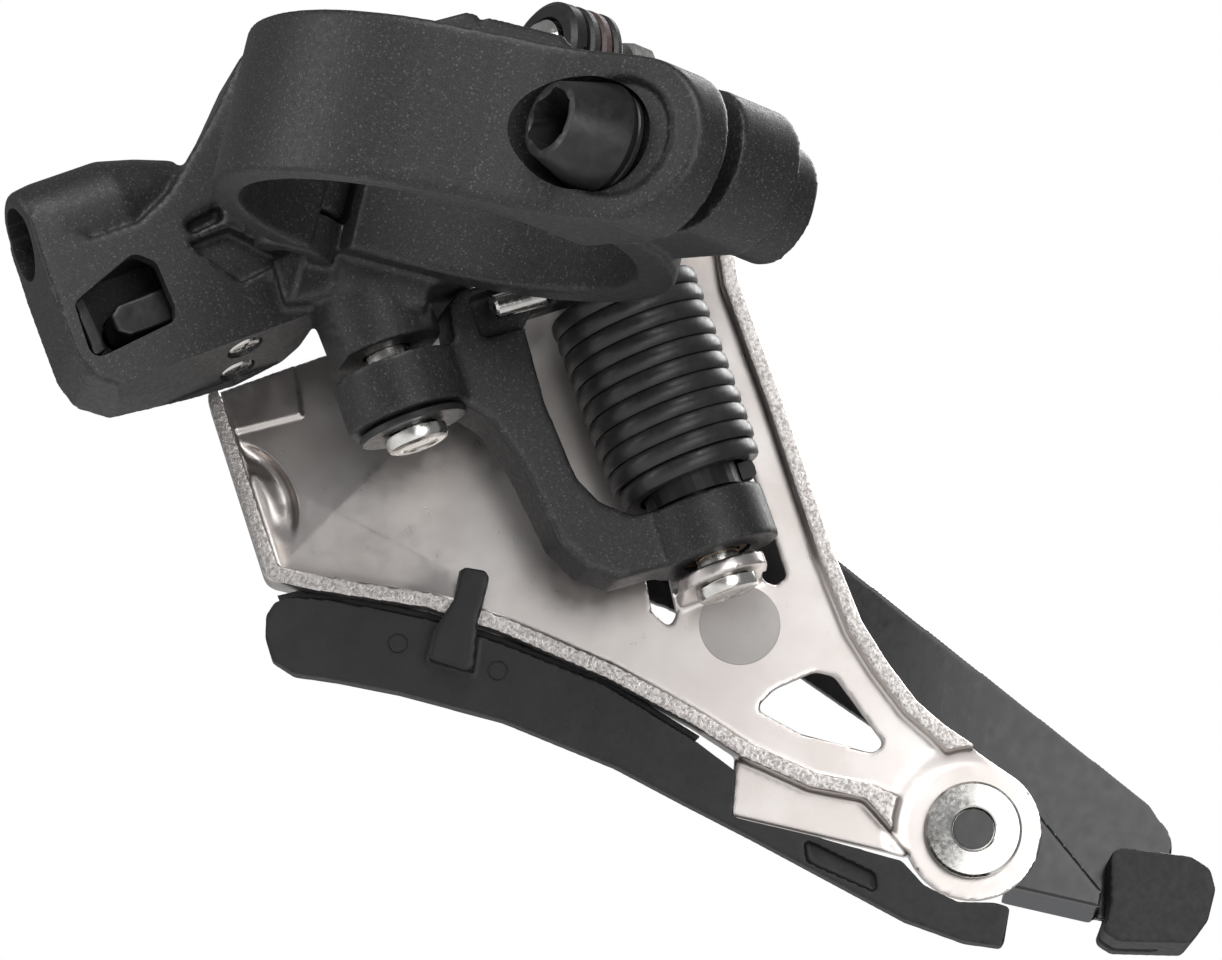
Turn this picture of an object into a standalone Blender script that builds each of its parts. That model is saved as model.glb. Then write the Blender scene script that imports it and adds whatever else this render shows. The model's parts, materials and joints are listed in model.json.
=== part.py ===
"""Front derailleur: side-swing, front-pull, band clamp, for two chainrings.

Frame: origin at the centre of the seat-tube clamp, +Z up the seat tube,
+X to the rear wheel, +Y to the chainring side. Every size below is in millimetres.
"""
import bpy
import bmesh
from math import radians, sin, cos, pi, atan2, hypot
from mathutils import Matrix, Vector

MM = 0.001
GAP = 0.3                     # running gap between neighbouring pieces

# --- driving dimensions -----------------------------------------------------
TUBE_R = 17.45                # seat tube of 34.9 mm
BAND_R = 21.0                 # outside of the clamp band
BAND_HALF = 7.3               # half the band's height
EAR_TIP = 35.4                # tip of the clamp ears, from the tube axis
BOLT_S = 24.5                 # clamp bolt, from the tube axis
NEAR_EAR_FACE = -3.5          # near ear's inner face, along the bolt from the tube axis
FAR_EAR = (-13.5, -6.8)       # far ear's faces
HEAD_SEAT = 0.6               # floor of the clamp bolt's counterbore
COUNTERBORE_R = 5.5
BOLT_HOLE_R = 3.2
M5_R = 2.5                    # shank of the clamp and cable bolts
HINGE_ANGLE = 127.0           # clamp hinge, degrees round the tube from +X
HINGE_R = 22.5
HINGE_PIN_R = 1.3
KNUCKLE_R = 3.6
KNUCKLE_HALF = 3.2            # half the height of the band's middle knuckle

PIVOT_TILT = 32.5             # the link pivots lean this far from the tube
LINK_FRONT = (-10.0, 24.0)    # inner link's front pivot in the link plane
LINK_REAR = (12.2, 30.5)      # inner link's rear pivot at rest
LINK_OFFSET = (7.0, -2.0)     # from the inner link's pivots to the outer link's
PIN_R = 2.0
SPRING_R = 6.45               # outside of the return spring
SPRING_TURNS = 10
WIRE_R = 0.82
SPRING_SPAN = (-29.3, -9.2)

CABLE_DIR = (0.766, 0.275, 0.581)
CASING_MOUTH = (-37.3, 21.0, -10.8)
CASING_R = 3.1                # bore for the cable casing's ferrule
HOUSING_HALF = 4.7
ANCHOR = (15.0, 36.0, 14.1)   # cable anchor in pivot coordinates

INNER_Y = 38.0                # middle of the inner cage plate
OUTER_Y = 50.0                # middle of the outer cage plate
SHEET = 1.2
RIM = 2.0                     # how far the inner plate's rim stands towards the tube
SKID_SPAN = (-38.1, -35.6)    # faces of the skid plate in side view
BOSS = (57.3, -41.2)          # tail rivet in side view
BOSS_R = 6.3
TAIL_RIVET_R = 2.6
NOSE_RIVET_R = 1.5
NOSE_RIVETS = ((-4.7, -13.4), (1.7, -9.2))

# --- frames -----------------------------------------------------------------
tilt = radians(PIVOT_TILT)
PIVOT = Vector((-sin(tilt), 0, cos(tilt)))        # the pivots' direction
ALONG = Vector((cos(tilt), 0, sin(tilt)))         # across them, to the rear
SIDE = Vector((0, 1, 0))
EAR = Vector((0.6, -0.8, 0))                      # from the tube to the clamp ears
BOLT = Vector((-0.8, -0.6, 0))                    # clamp bolt, towards its head
CABLE = Vector(CABLE_DIR).normalized()
CABLE_SIDE = (SIDE - CABLE * SIDE.dot(CABLE)).normalized()
CABLE_UP = CABLE.cross(CABLE_SIDE)


def basis(x, y, z, at=(0, 0, 0)):
    """A placement whose local axes are x, y and z, with its origin at a point in mm."""
    matrix = Matrix((x, y, z)).transposed().to_4x4()
    matrix.translation = Vector(at) * MM
    return matrix


PIVOTS = basis(ALONG, SIDE, PIVOT)                # x along, y to the side, z up the pivots
PLAN = Matrix.Identity(4)                         # x, y, z of the object
UPRIGHT = basis(Vector((1, 0, 0)), Vector((0, 0, 1)), Vector((0, -1, 0)))   # side view
EARS = basis(EAR, Vector((0, 0, 1)), -BOLT)       # x to the ears, y up, z away from the head
HOUSING = basis(CABLE, CABLE_UP, -CABLE_SIDE, CASING_MOUTH)         # side view of the housing
ALONG_CABLE = basis(CABLE_UP, CABLE_SIDE, CABLE, CASING_MOUTH)      # z along the casing
LIMITS = basis(CABLE, CABLE_SIDE, CABLE_UP, CASING_MOUTH)           # z up the limit screws

link_run = hypot(LINK_REAR[0] - LINK_FRONT[0], LINK_REAR[1] - LINK_FRONT[1])
link_rest = atan2(LINK_REAR[1] - LINK_FRONT[1], LINK_REAR[0] - LINK_FRONT[0])
LINK_DIR = ALONG * cos(link_rest) + SIDE * sin(link_rest)
link_origin = ALONG * LINK_FRONT[0] + SIDE * LINK_FRONT[1]
LINK = basis(LINK_DIR, PIVOT, LINK_DIR.cross(PIVOT), link_origin)           # side view of a link
OUTER_FRONT = tuple(a + b for a, b in zip(LINK_FRONT, LINK_OFFSET))
OUTER_REAR = tuple(a + b for a, b in zip(LINK_REAR, LINK_OFFSET))


def pivot_point(along, side, up):
    """Object coordinates, in mm, of a point given in pivot coordinates."""
    return ALONG * along + SIDE * side + PIVOT * up


ANCHORS = basis(EAR, Vector((0, 0, 1)), -BOLT, pivot_point(*ANCHOR))    # z away from the head

# --- scene ------------------------------------------------------------------
for old in list(bpy.data.objects):
    bpy.data.objects.remove(old, do_unlink=True)
parts = bpy.data.collections.new("front_derailleur")
tools = bpy.data.collections.new("cutters")
bpy.context.scene.collection.children.link(parts)
bpy.context.scene.collection.children.link(tools)


def paint(name, colour, roughness, metallic):
    """A Principled material."""
    material = bpy.data.materials.new(name)
    material.use_nodes = True
    shader = material.node_tree.nodes["Principled BSDF"]
    shader.inputs["Base Color"].default_value = (*colour, 1)
    shader.inputs["Roughness"].default_value = roughness
    shader.inputs["Metallic"].default_value = metallic
    return material


CAST = paint("black_cast", (0.020, 0.020, 0.022), 0.45, 0.3)
STEEL = paint("bright_steel", (0.62, 0.61, 0.59), 0.25, 1.0)
SATIN = paint("satin_sheet", (0.55, 0.51, 0.48), 0.32, 1.0)
GLOSS = paint("black_sheet", (0.010, 0.010, 0.011), 0.15, 0.4)
DARK = paint("dark_steel", (0.045, 0.045, 0.048), 0.40, 0.8)
PLASTIC = paint("dark_plastic", (0.018, 0.018, 0.020), 0.55, 0.0)
SPRING = paint("spring_wire", (0.022, 0.022, 0.024), 0.35, 0.7)
BRONZE = paint("bush_bronze", (0.38, 0.24, 0.12), 0.40, 1.0)


# --- modelling helpers ------------------------------------------------------
def place(mesh, name, matrix):
    """Put a mesh in the scene as an object in the parts collection."""
    body = bpy.data.objects.new(name, mesh)
    body.matrix_world = matrix
    parts.objects.link(body)
    return body


def rod(name, radius, low, high, matrix, at=(0, 0), sides=32, top=None):
    """A cylinder along local z from low to high; top is the radius at its high end."""
    form = bmesh.new()
    bmesh.ops.create_cone(form, cap_ends=True, segments=sides, radius1=radius * MM,
                          radius2=(radius if top is None else top) * MM,
                          depth=(high - low) * MM)
    mesh = bpy.data.meshes.new(name)
    form.to_mesh(mesh)
    form.free()
    shift = Matrix.Translation(Vector((at[0], at[1], (low + high) / 2)) * MM)
    return place(mesh, name, matrix @ shift)


def slab(name, outline, low, high, matrix):
    """A flat outline in local x, y, thickened along local z from low to high."""
    curve = bpy.data.curves.new(name, "CURVE")
    curve.dimensions = "2D"
    curve.fill_mode = "BOTH"
    curve.extrude = (high - low) / 2 * MM
    spline = curve.splines.new("POLY")
    spline.points.add(len(outline) - 1)
    for point, (x, y) in zip(spline.points, outline):
        point.co = (x * MM, y * MM, 0, 1)
    spline.use_cyclic_u = True
    flat = bpy.data.objects.new(name, curve)
    parts.objects.link(flat)
    flat.matrix_world = matrix @ Matrix.Translation((0, 0, (low + high) / 2 * MM))
    bpy.context.view_layer.update()
    mesh = bpy.data.meshes.new_from_object(flat.evaluated_get(bpy.context.evaluated_depsgraph_get()))
    world = flat.matrix_world.copy()
    bpy.data.objects.remove(flat, do_unlink=True)
    form = bmesh.new()
    form.from_mesh(mesh)
    bmesh.ops.remove_doubles(form, verts=form.verts, dist=1e-6)
    bmesh.ops.recalc_face_normals(form, faces=form.faces)
    form.to_mesh(mesh)
    form.free()
    return place(mesh, name, world)


def block(name, low, high, matrix):
    """A box between two corners in local coordinates."""
    form = bmesh.new()
    bmesh.ops.create_cube(form, size=1)
    size = [(b - a) * MM for a, b in zip(low, high)]
    bmesh.ops.scale(form, vec=size, verts=form.verts)
    mesh = bpy.data.meshes.new(name)
    form.to_mesh(mesh)
    form.free()
    middle = Vector([(a + b) / 2 for a, b in zip(low, high)]) * MM
    return place(mesh, name, matrix @ Matrix.Translation(middle))


def combine(body, tool, operation):
    """A Boolean with a tool that isn't a part itself."""
    parts.objects.unlink(tool)
    tools.objects.link(tool)
    tool.hide_render = True
    tool.display_type = "WIRE"
    change = body.modifiers.new(operation.lower(), "BOOLEAN")
    change.operation = operation
    change.object = tool
    change.solver = "EXACT"


def cut(body, *shapes):
    for shape in shapes:
        combine(body, shape, "DIFFERENCE")


def add(body, *shapes):
    for shape in shapes:
        combine(body, shape, "UNION")


def keep_inside(body, shape):
    combine(body, shape, "INTERSECT")


def soften(body, width, segments=1):
    """A small rounded edge on every sharp corner."""
    edge = body.modifiers.new("edge", "BEVEL")
    edge.width = width * MM
    edge.segments = segments
    edge.limit_method = "ANGLE"
    edge.angle_limit = radians(40)


def finish(body, material):
    body.data.materials.clear()
    body.data.materials.append(material)
    body.data.shade_smooth()
    body.data.set_sharp_from_angle(angle=radians(35))
    return body


def ring(name, outer, inner, low, high, matrix, at=(0, 0), sides=32):
    """A washer, bush or sleeve along local z."""
    body = rod(name, outer, low, high, matrix, at, sides)
    cut(body, rod(name + "_bore", inner, low - 1, high + 1, matrix, at, sides))
    return body


def arc(centre, radius, start, stop, steps):
    """Points on an arc, start and stop in degrees."""
    points = []
    for step in range(steps + 1):
        angle = radians(start + (stop - start) * step / steps)
        points.append((centre[0] + radius * cos(angle), centre[1] + radius * sin(angle)))
    return points


def sector(inner, outer, start, stop, steps):
    """The outline of a part of a ring."""
    return arc((0, 0), outer, start, stop, steps) + arc((0, 0), inner, stop, start, steps)


def inset(outline, distance):
    """The outline moved inwards by a distance; its points run anticlockwise."""
    result = []
    count = len(outline)
    for index in range(count):
        before, here, after = (Vector(outline[(index + k) % count]) for k in (-1, 0, 1))
        first = (here - before).normalized()
        second = (after - here).normalized()
        inward = (Vector((-first.y, first.x)) + Vector((-second.y, second.x))).normalized()
        spread = max(inward.dot(Vector((-first.y, first.x))), 0.45)
        result.append(tuple(here + inward * distance / spread))
    return result


def stadium(start, tip, half, steps=12):
    """A bar outline from start to a round tip, 2 x half wide."""
    return [(start, -half)] + arc((tip - half, 0), half, -90, 90, steps) + [(start, half)]


def hexagon(across_flats):
    return arc((0, 0), across_flats / 2 / cos(pi / 6), 0, 300, 5)


# --- clamp ------------------------------------------------------------------
hinge_at = (HINGE_R * cos(radians(HINGE_ANGLE)), HINGE_R * sin(radians(HINGE_ANGLE)))


def clamp_band():
    """The hinged half of the clamp, with the ear that the bolt head sits in."""
    near_tip = [(21.4, -28.0)]
    ear_inner = [tuple((EAR * s + BOLT * h).to_2d()) for s, h in ((EAR_TIP, NEAR_EAR_FACE),
                                                                    (17.2, NEAR_EAR_FACE))]
    outline = (arc((0, 0), BAND_R, 131, 283, 22) + near_tip
               + ear_inner + arc((0, 0), TUBE_R, 297, 131, 22))
    body = slab("clamp_band", outline, -BAND_HALF, BAND_HALF, PLAN)
    keep_inside(body, slab("band_profile", stadium(-30, EAR_TIP, BAND_HALF), -30, 30, EARS))
    add(body, rod("band_knuckle", KNUCKLE_R, -KNUCKLE_HALF, KNUCKLE_HALF, PLAN, hinge_at, 24))
    for side, (low, high) in enumerate(((-9, -KNUCKLE_HALF), (KNUCKLE_HALF, 9))):
        cut(body, rod(f"band_relief_{side}", KNUCKLE_R + 0.7, low, high, PLAN, hinge_at, 24))
    cut(body, rod("band_pin_bore", HINGE_PIN_R + GAP, -9, 9, PLAN, hinge_at, 20))
    cut(body, rod("counterbore", COUNTERBORE_R, -30, -HEAD_SEAT, EARS, (BOLT_S, 0)))
    cut(body, rod("band_bolt_hole", BOLT_HOLE_R, -30, 30, EARS, (BOLT_S, 0), 24))
    return finish(body, CAST)


def clamp_bolt():
    """Socket-head clamp bolt with a conical head."""
    body = rod("clamp_bolt", 4.9, -7.9, -1.9, EARS, (BOLT_S, 0), 40, top=4.9)
    keep_inside(body, rod("head_cone", 3.3, -8.2, -1.7, EARS, (BOLT_S, 0), 40, top=5.4))
    add(body, rod("bolt_shank", M5_R, -2.2, 17.0, EARS, (BOLT_S, 0), 24))
    socket = slab("bolt_socket", hexagon(5.0), -9, -4.4, EARS @ Matrix.Translation((BOLT_S * MM, 0, 0)))
    cut(body, socket)
    return finish(body, DARK)


def clamp_bolt_washer():
    body = ring("clamp_bolt_washer", 5.1, 2.8, -1.6, -HEAD_SEAT - 0.2, EARS, (BOLT_S, 0))
    return finish(body, DARK)


def clamp_nut():
    """Threaded insert pressed into the far ear."""
    body = ring("clamp_nut", 4.0, 2.8, 9.0, 17.9, EARS, (BOLT_S, 0))
    return finish(body, STEEL)


def clamp_hinge_pin():
    body = rod("clamp_hinge_pin", HINGE_PIN_R, -BAND_HALF, BAND_HALF, PLAN, hinge_at, 20)
    return finish(body, STEEL)


# --- base -------------------------------------------------------------------
HOUSING_OUTLINE = [(-1.2, 4.4), (-2.2, -4.6), (0.6, -16.4), (17.8, -16.4), (24.5, -12.0),
                   (29.0, -8.0), (29.0, 8.6), (22.5, 8.0), (14.2, 1.2), (10.6, 4.4)]
WINDOW = [(0.4, -7.2), (-0.2, -13.0), (8.2, -13.2), (9.6, -6.4)]
ADJUSTER = (5.6, -10.1)           # adjuster's axis in the housing's side view
ADJUST_SHANK_R = 1.5
LIMIT_SCREWS = ((14.0, -2.3), (14.0, 2.3))     # along and across the housing


def base_member():
    """The cast base: far half of the clamp, casing housing and the links' front lugs."""
    body = slab("base_member", sector(TUBE_R, BAND_R, -34, 119, 22), -BAND_HALF, BAND_HALF, PLAN)
    ear = slab("far_ear", stadium(16.4, EAR_TIP - 1.5, BAND_HALF), -FAR_EAR[1], -FAR_EAR[0], EARS)
    boss = rod("nut_boss", 6.2, 13.0, 17.6, EARS, (BOLT_S, 0))
    knuckles = [rod(f"base_knuckle_{side}", KNUCKLE_R, low, high, PLAN, hinge_at, 24)
                for side, (low, high) in enumerate(((-BAND_HALF, -KNUCKLE_HALF - GAP),
                                                    (KNUCKLE_HALF + GAP, BAND_HALF)))]
    root_outline = [(-9.2, 18.4), (-1.0, 19.6), (-1.0, 26.5), (-8.0, 30.0), (-24.0, 28.5),
                    (-24.0, 23.4), (-17.0, 21.6), (-13.0, 20.4)]
    root = slab("base_root", root_outline, -8.8, 5.8, PLAN)
    shell = slab("housing", HOUSING_OUTLINE, -HOUSING_HALF, HOUSING_HALF, HOUSING)
    lug = rod("front_lug", 5.3, -8.7, 3.0, PIVOTS, LINK_FRONT)
    upper_lug = rod("upper_lug", 4.1, 4.6, 12.9, PIVOTS, OUTER_FRONT)
    add(body, ear, boss, root, shell, lug, upper_lug, *knuckles)
    cut(body, rod("bore_clear", TUBE_R, -20, 20, PLAN, sides=72))
    cut(body, rod("hinge_clear", KNUCKLE_R + 0.6, -KNUCKLE_HALF - GAP, KNUCKLE_HALF + GAP,
                  PLAN, hinge_at, 24))
    cut(body, rod("hinge_bore", HINGE_PIN_R + GAP, -12, 12, PLAN, hinge_at, 20))
    cut(body, rod("nut_bore", 4.0 + GAP, 8.6, 19.0, EARS, (BOLT_S, 0)))
    cut(body, rod("far_bolt_hole", BOLT_HOLE_R, 5.0, 9.5, EARS, (BOLT_S, 0), 24))
    cut(body, rod("front_pin_bore", PIN_R + GAP, -10, 0, PIVOTS, LINK_FRONT, 24))
    cut(body, rod("upper_pin_bore", PIN_R + GAP, 6.5, 13, PIVOTS, OUTER_FRONT, 24))
    cut(body, rod("casing_bore", CASING_R, -6, 9.5, ALONG_CABLE))
    cut(body, rod("cable_bore", 1.3, 8, 40, ALONG_CABLE, sides=16))
    cut(body, slab("window", WINDOW, -3.0, 6.0, HOUSING))
    cut(body, rod("adjuster_bore", ADJUST_SHANK_R + GAP, -6.0, -2.0, HOUSING, ADJUSTER, 20))
    for index, (along, side) in enumerate(LIMIT_SCREWS):
        cut(body, rod(f"limit_bore_{index}", 1.95, -19, -6.6, LIMITS, (along, side), 20))
    return finish(body, CAST)


def limit_screw(name, at):
    """Stroke limit screw, head at the underside of the housing."""
    body = rod(name, 1.6, -17.4, -7.2, LIMITS, at, 20)
    cut(body, rod(name + "_socket", 0.9, -18.5, -16.0, LIMITS, at, 6))
    return finish(body, STEEL)


def casing_liner():
    """Plastic bush that the cable runs through beyond the casing's end."""
    body = ring("casing_bush", CASING_R - GAP, 1.0, 7.2, 9.2, ALONG_CABLE)
    return finish(body, PLASTIC)


def adjuster_slider():
    """Rounded slider in the housing's window, moved by the cable adjust bolt."""
    side_view = HOUSING @ Matrix.Translation((ADJUSTER[0] * MM, ADJUSTER[1] * MM, 0))
    outline = arc((0, 0.5), 2.4, 0, 180, 10) + [(-2.4, -2.4), (2.4, -2.4)]
    body = slab("adjuster_slider", outline, -1.6, 3.6, side_view)
    soften(body, 0.4, 2)
    return finish(body, DARK)


def adjuster_plate():
    """Thin guide plate beside the slider."""
    body = block("adjuster_plate", (0.9, -12.4, -2.2), (2.0, -8.0, 3.4), HOUSING)
    soften(body, 0.2)
    return finish(body, DARK)


def cable_adjust_bolt():
    """Hexagon bolt on the chainring side of the housing."""
    side_view = HOUSING @ Matrix.Translation((ADJUSTER[0] * MM, ADJUSTER[1] * MM, 0))
    body = slab("cable_adjust_bolt", hexagon(5.0), -7.0, -HOUSING_HALF - GAP, side_view)
    add(body, rod("adjust_shank", ADJUST_SHANK_R, -5.2, -2.0, HOUSING, ADJUSTER, 20))
    cut(body, slab("adjust_socket", hexagon(2.0), -8, -6.0, side_view))
    return finish(body, DARK)


def front_pin(name, at, head_low, head_high, shank_low, shank_high):
    """Pivot pin with a head, shank and head given by their heights along the pivot."""
    body = rod(name, PIN_R, shank_low, shank_high, PIVOTS, at, 24)
    add(body, rod(name + "_head", 2.9, head_low, head_high, PIVOTS, at, 28))
    return finish(body, STEEL)


# --- links ------------------------------------------------------------------
def inner_link():
    """Cast link seen from the bicycle's left side: front knuckle, strut, rear foot."""
    outline = [(0, -10.3), (5.6, -9.8), (6.3, -6.6), (7.6, -5.6), (link_run, -5.6),
               (link_run, -8.6), (14.2, -8.9), (12.4, -10.6), (11.8, -17.5), (12.2, -25.0),
               (13.5, -27.7), (16.1, -29.8), (link_run, -30.0), (link_run, -35.2),
               (12.8, -35.0), (10.2, -33.2), (8.6, -30.1), (7.8, -22.3), (7.0, -17.8),
               (5.5, -15.2), (0, -15.2)]
    body = slab("inner_link", outline[::-1], -2.6, 2.6, LINK)
    add(body, rod("front_knuckle", 5.7, -15.2, -10.2, PIVOTS, LINK_FRONT))
    add(body, rod("rear_foot", 6.0, -35.2, -30.0, PIVOTS, LINK_REAR))
    add(body, rod("rear_ear", 4.4, -8.6, -5.6, PIVOTS, LINK_REAR))
    cut(body, rod("front_bush_bore", 3.3, -20, 0, PIVOTS, LINK_FRONT, 24))
    cut(body, rod("rear_bush_bore", 3.3, -40, -25, PIVOTS, LINK_REAR, 24))
    cut(body, rod("rear_ear_bore", PIN_R + GAP, -12, 0, PIVOTS, LINK_REAR, 24))
    pocket = block("hook_pocket", (8.6, -10.2, 2.0), (15.4, -6.5, 4.0), LINK)
    cut(body, pocket)
    return finish(body, CAST)


def spring_hook_pin():
    """Bright pin in the link's corner, where the spring's leg bears."""
    along_link = basis(PIVOT, LINK.to_3x3().col[2], LINK_DIR, link_origin)
    body = rod("spring_hook_pin", 1.1, 9.8, 14.8, along_link, (-8.1, 3.4), 16)
    return finish(body, STEEL)


def bush(name, at, low, high):
    return finish(ring(name, 3.0, PIN_R + GAP, low, high, PIVOTS, at, 24), BRONZE)


def return_spring():
    """Close-wound torsion spring round the inner link's rear pivot."""
    curve = bpy.data.curves.new("return_spring", "CURVE")
    curve.dimensions = "3D"
    curve.bevel_depth = WIRE_R * MM
    curve.bevel_resolution = 2
    curve.use_fill_caps = True
    per_turn = 18
    count = SPRING_TURNS * per_turn
    spline = curve.splines.new("POLY")
    spline.points.add(count)
    radius = SPRING_R - WIRE_R
    low, high = SPRING_SPAN[0] + WIRE_R, SPRING_SPAN[1] - WIRE_R
    for index, point in enumerate(spline.points):
        angle = 2 * pi * index / per_turn
        place_at = (LINK_REAR[0] + radius * cos(angle), LINK_REAR[1] + radius * sin(angle),
                    low + (high - low) * index / count)
        point.co = (*(Vector(place_at) * MM), 1)
    coil = bpy.data.objects.new("return_spring", curve)
    coil.matrix_world = PIVOTS
    parts.objects.link(coil)
    curve.materials.append(SPRING)
    return coil


def outer_link():
    """Cast link behind the clamp: carries the cable anchor."""
    run = Matrix(LINK)
    run.translation = (ALONG * OUTER_FRONT[0] + SIDE * OUTER_FRONT[1]) * MM
    outline = [(0, 18.4), (0, 13.2), (6.0, 13.2), (15.5, 2.0), (19.4, -3.4), (link_run, -3.6),
               (link_run, 2.6), (20.5, 8.0), (18.0, 14.0), (10.0, 18.4)]
    body = slab("outer_link", outline, -2.4, 2.4, run)
    add(body, rod("outer_front_knuckle", 4.0, 13.2, 18.4, PIVOTS, OUTER_FRONT))
    add(body, rod("outer_rear_knuckle", 4.0, -3.6, 2.6, PIVOTS, OUTER_REAR))
    arm = [(4.0, 24.0), (11.0, 31.0), (12.6, 38.6), (17.4, 38.6), (19.0, 31.0), (15.0, 25.0)]
    add(body, slab("anchor_arm", arm, 12.2, 17.0, PIVOTS))
    add(body, rod("anchor_boss", 4.6, -1.0, 5.0, ANCHORS))
    cut(body, rod("outer_front_bore", PIN_R + GAP, 5, 25, PIVOTS, OUTER_FRONT, 24))
    cut(body, rod("outer_rear_bore", PIN_R + 0.6, -10, 9, PIVOTS, OUTER_REAR, 24))
    cut(body, rod("outer_head_clear", 3.6, 2.6, 9, PIVOTS, OUTER_REAR, 28))
    cut(body, rod("washer_clear", 7.0, -14, -1, ANCHORS))
    cut(body, rod("nut_clear", 5.4, 5, 14, ANCHORS))
    cut(body, rod("anchor_bore", 2.8, -30, 30, ANCHORS, sides=24))
    return finish(body, CAST)


def cable_clamp_plate():
    """Washer plate that holds the cable against the link."""
    body = ring("cable_clamp_plate", 5.6, 2.8, -2.6, -1.3, ANCHORS)
    cut(body, block("cable_groove", (-8, -0.7, -1.7), (8, 0.7, 0), ANCHORS))
    return finish(body, STEEL)


def cable_fixing_bolt():
    body = rod("cable_fixing_bolt", 4.0, -7.2, -2.9, ANCHORS, sides=32)
    add(body, rod("fixing_shank", M5_R, -3.1, 8.6, ANCHORS, sides=24))
    cut(body, slab("fixing_socket", hexagon(4.0), -8, -4.8, ANCHORS))
    return finish(body, DARK)


def anchor_nut():
    body = rod("anchor_nut", 4.4, 5.3, 8.2, ANCHORS, sides=6)
    cut(body, rod("anchor_nut_bore", 2.8, 4, 10, ANCHORS, sides=24))
    return finish(body, STEEL)


# --- cage -------------------------------------------------------------------
INNER_OUTLINE = ([(-20.1, -17.5), (-10.6, -33.4), (-6.8, -33.5), (4.4, -32.7), (11.4, -33.4),
                  (21.9, -35.4), (30.4, -37.8), (35.2, -39.6), (35.8, -44.0), (50.8, -46.0)]
                 + arc(BOSS, BOSS_R, -128, 62, 14)
                 + [(52.4, -33.2), (46.9, -25.4), (40.9, -19.3), (32.4, -5.9), (26.5, 3.5),
                    (24.0, 9.5), (19.5, 9.5), (8.0, 1.5), (-2.0, -6.5), (-10.7, -11.5)])
TAIL_OPENING = [(35.5, -34.7), (40.0, -36.0), (47.0, -36.3), (47.7, -35.2), (41.9, -30.1),
                (40.1, -30.1), (36.9, -32.5)]
SPRING_OPENING = [(6.4, -8.4), (4.4, -15.5), (4.3, -23.5), (8.0, -27.5), (8.0, -32.0),
                  (18.6, -32.0), (20.4, -11.0), (20.4, -8.4)]
TAB = (-37.4, -36.1)              # lower tab's faces along the pivots
SHELF = (-5.2, -4.0)              # upper tab's faces


def tab_outline(at, radius, root):
    """A tab from the plate to a round end about a pivot."""
    return arc(at, radius, 180, 360, 12) + [(at[0] + radius, root), (at[0] - radius, root)]


def inner_cage_plate():
    """Pressed inner plate with its rim, and the two tabs that hold the rear pivots."""
    near, far = -INNER_Y + SHEET / 2 + RIM, -INNER_Y - SHEET / 2
    body = slab("inner_cage_plate", INNER_OUTLINE, far, near, UPRIGHT)
    cut(body, slab("dish", inset(INNER_OUTLINE, 1.3), -INNER_Y + SHEET / 2, near + 1, UPRIGHT))
    cut(body, slab("tail_opening", TAIL_OPENING, far - 2, near + 2, UPRIGHT))
    turned = basis(ALONG, PIVOT, -SIDE)
    cut(body, slab("spring_opening", SPRING_OPENING, far - 2, near + 2, turned))
    cut(body, slab("tab_slot", [(7.0, -36.2), (7.0, -41.6), (8.2, -41.6), (8.2, -36.2)],
                   far - 2, near + 2, turned))
    cut(body, slab("tab_slot_rear", [(16.4, -32.5), (16.4, -38.4), (18.2, -38.4), (18.6, -31.0)],
                   far - 2, near + 2, turned))
    root = INNER_Y - 0.1
    add(body, slab("lower_tab", tab_outline(LINK_REAR, 4.1, root), TAB[0], TAB[1], PIVOTS))
    shelf = [(8.0, root), (8.0, 28.5), (12.0, 26.0), (16.0, 24.6), (23.4, 24.6), (23.4, root)]
    add(body, slab("upper_tab", shelf, SHELF[0], SHELF[1], PIVOTS))
    for index, at in enumerate((LINK_REAR, OUTER_REAR)):
        cut(body, rod(f"cage_pin_bore_{index}", PIN_R + GAP, -40, 0, PIVOTS, at, 24))
    cut(body, rod("tail_rivet_bore", TAIL_RIVET_R + GAP, far - 2, near + 2, UPRIGHT, BOSS, 28))
    for index, at in enumerate(NOSE_RIVETS):
        cut(body, rod(f"nose_rivet_bore_{index}", NOSE_RIVET_R + GAP, far - 2, near + 2, UPRIGHT, at, 20))
    return finish(body, SATIN)


OUTER_OUTLINE = ([(-16.5, -19.0), (-12.0, -26.6), (0.0, -25.0), (12.0, -24.0), (25.2, -25.3),
                  (37.8, -28.5), (47.7, -32.5), (60.8, -38.4), (66.0, -44.9), (72.0, -44.9)]
                 + arc((72.4, -37.6), 3.6, -35, 60, 5)
                 + [(73.0, -33.3), (40.7, -17.7), (31.1, -13.1), (10.0, -7.6), (-8.0, -11.6)])


def outer_cage_plate():
    """Pressed outer plate; its tail turns inwards and meets the inner plate's boss."""
    low, high = -OUTER_Y - SHEET / 2, -OUTER_Y + SHEET / 2
    body = slab("outer_cage_plate", OUTER_OUTLINE, low, high, UPRIGHT)
    floor = [(60.6, -44.9), (68.0, -44.9), (68.0, -43.7), (60.6, -43.7)]
    inner_face = -INNER_Y - SHEET / 2 - GAP
    add(body, slab("tail_floor", floor, high - SHEET, inner_face, UPRIGHT))
    ear = arc(BOSS, 5.2, 80, 250, 12) + [(61.0, -44.9), (66.4, -44.9), (62.0, -38.4)]
    add(body, slab("tail_ear", ear, inner_face - SHEET, inner_face, UPRIGHT))
    cut(body, rod("tail_ear_bore", TAIL_RIVET_R + GAP, -60, -30, UPRIGHT, BOSS, 28))
    for index, at in enumerate(NOSE_RIVETS):
        cut(body, rod(f"outer_rivet_bore_{index}", NOSE_RIVET_R + GAP, -60, -45, UPRIGHT, at, 20))
    return finish(body, GLOSS)


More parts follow.
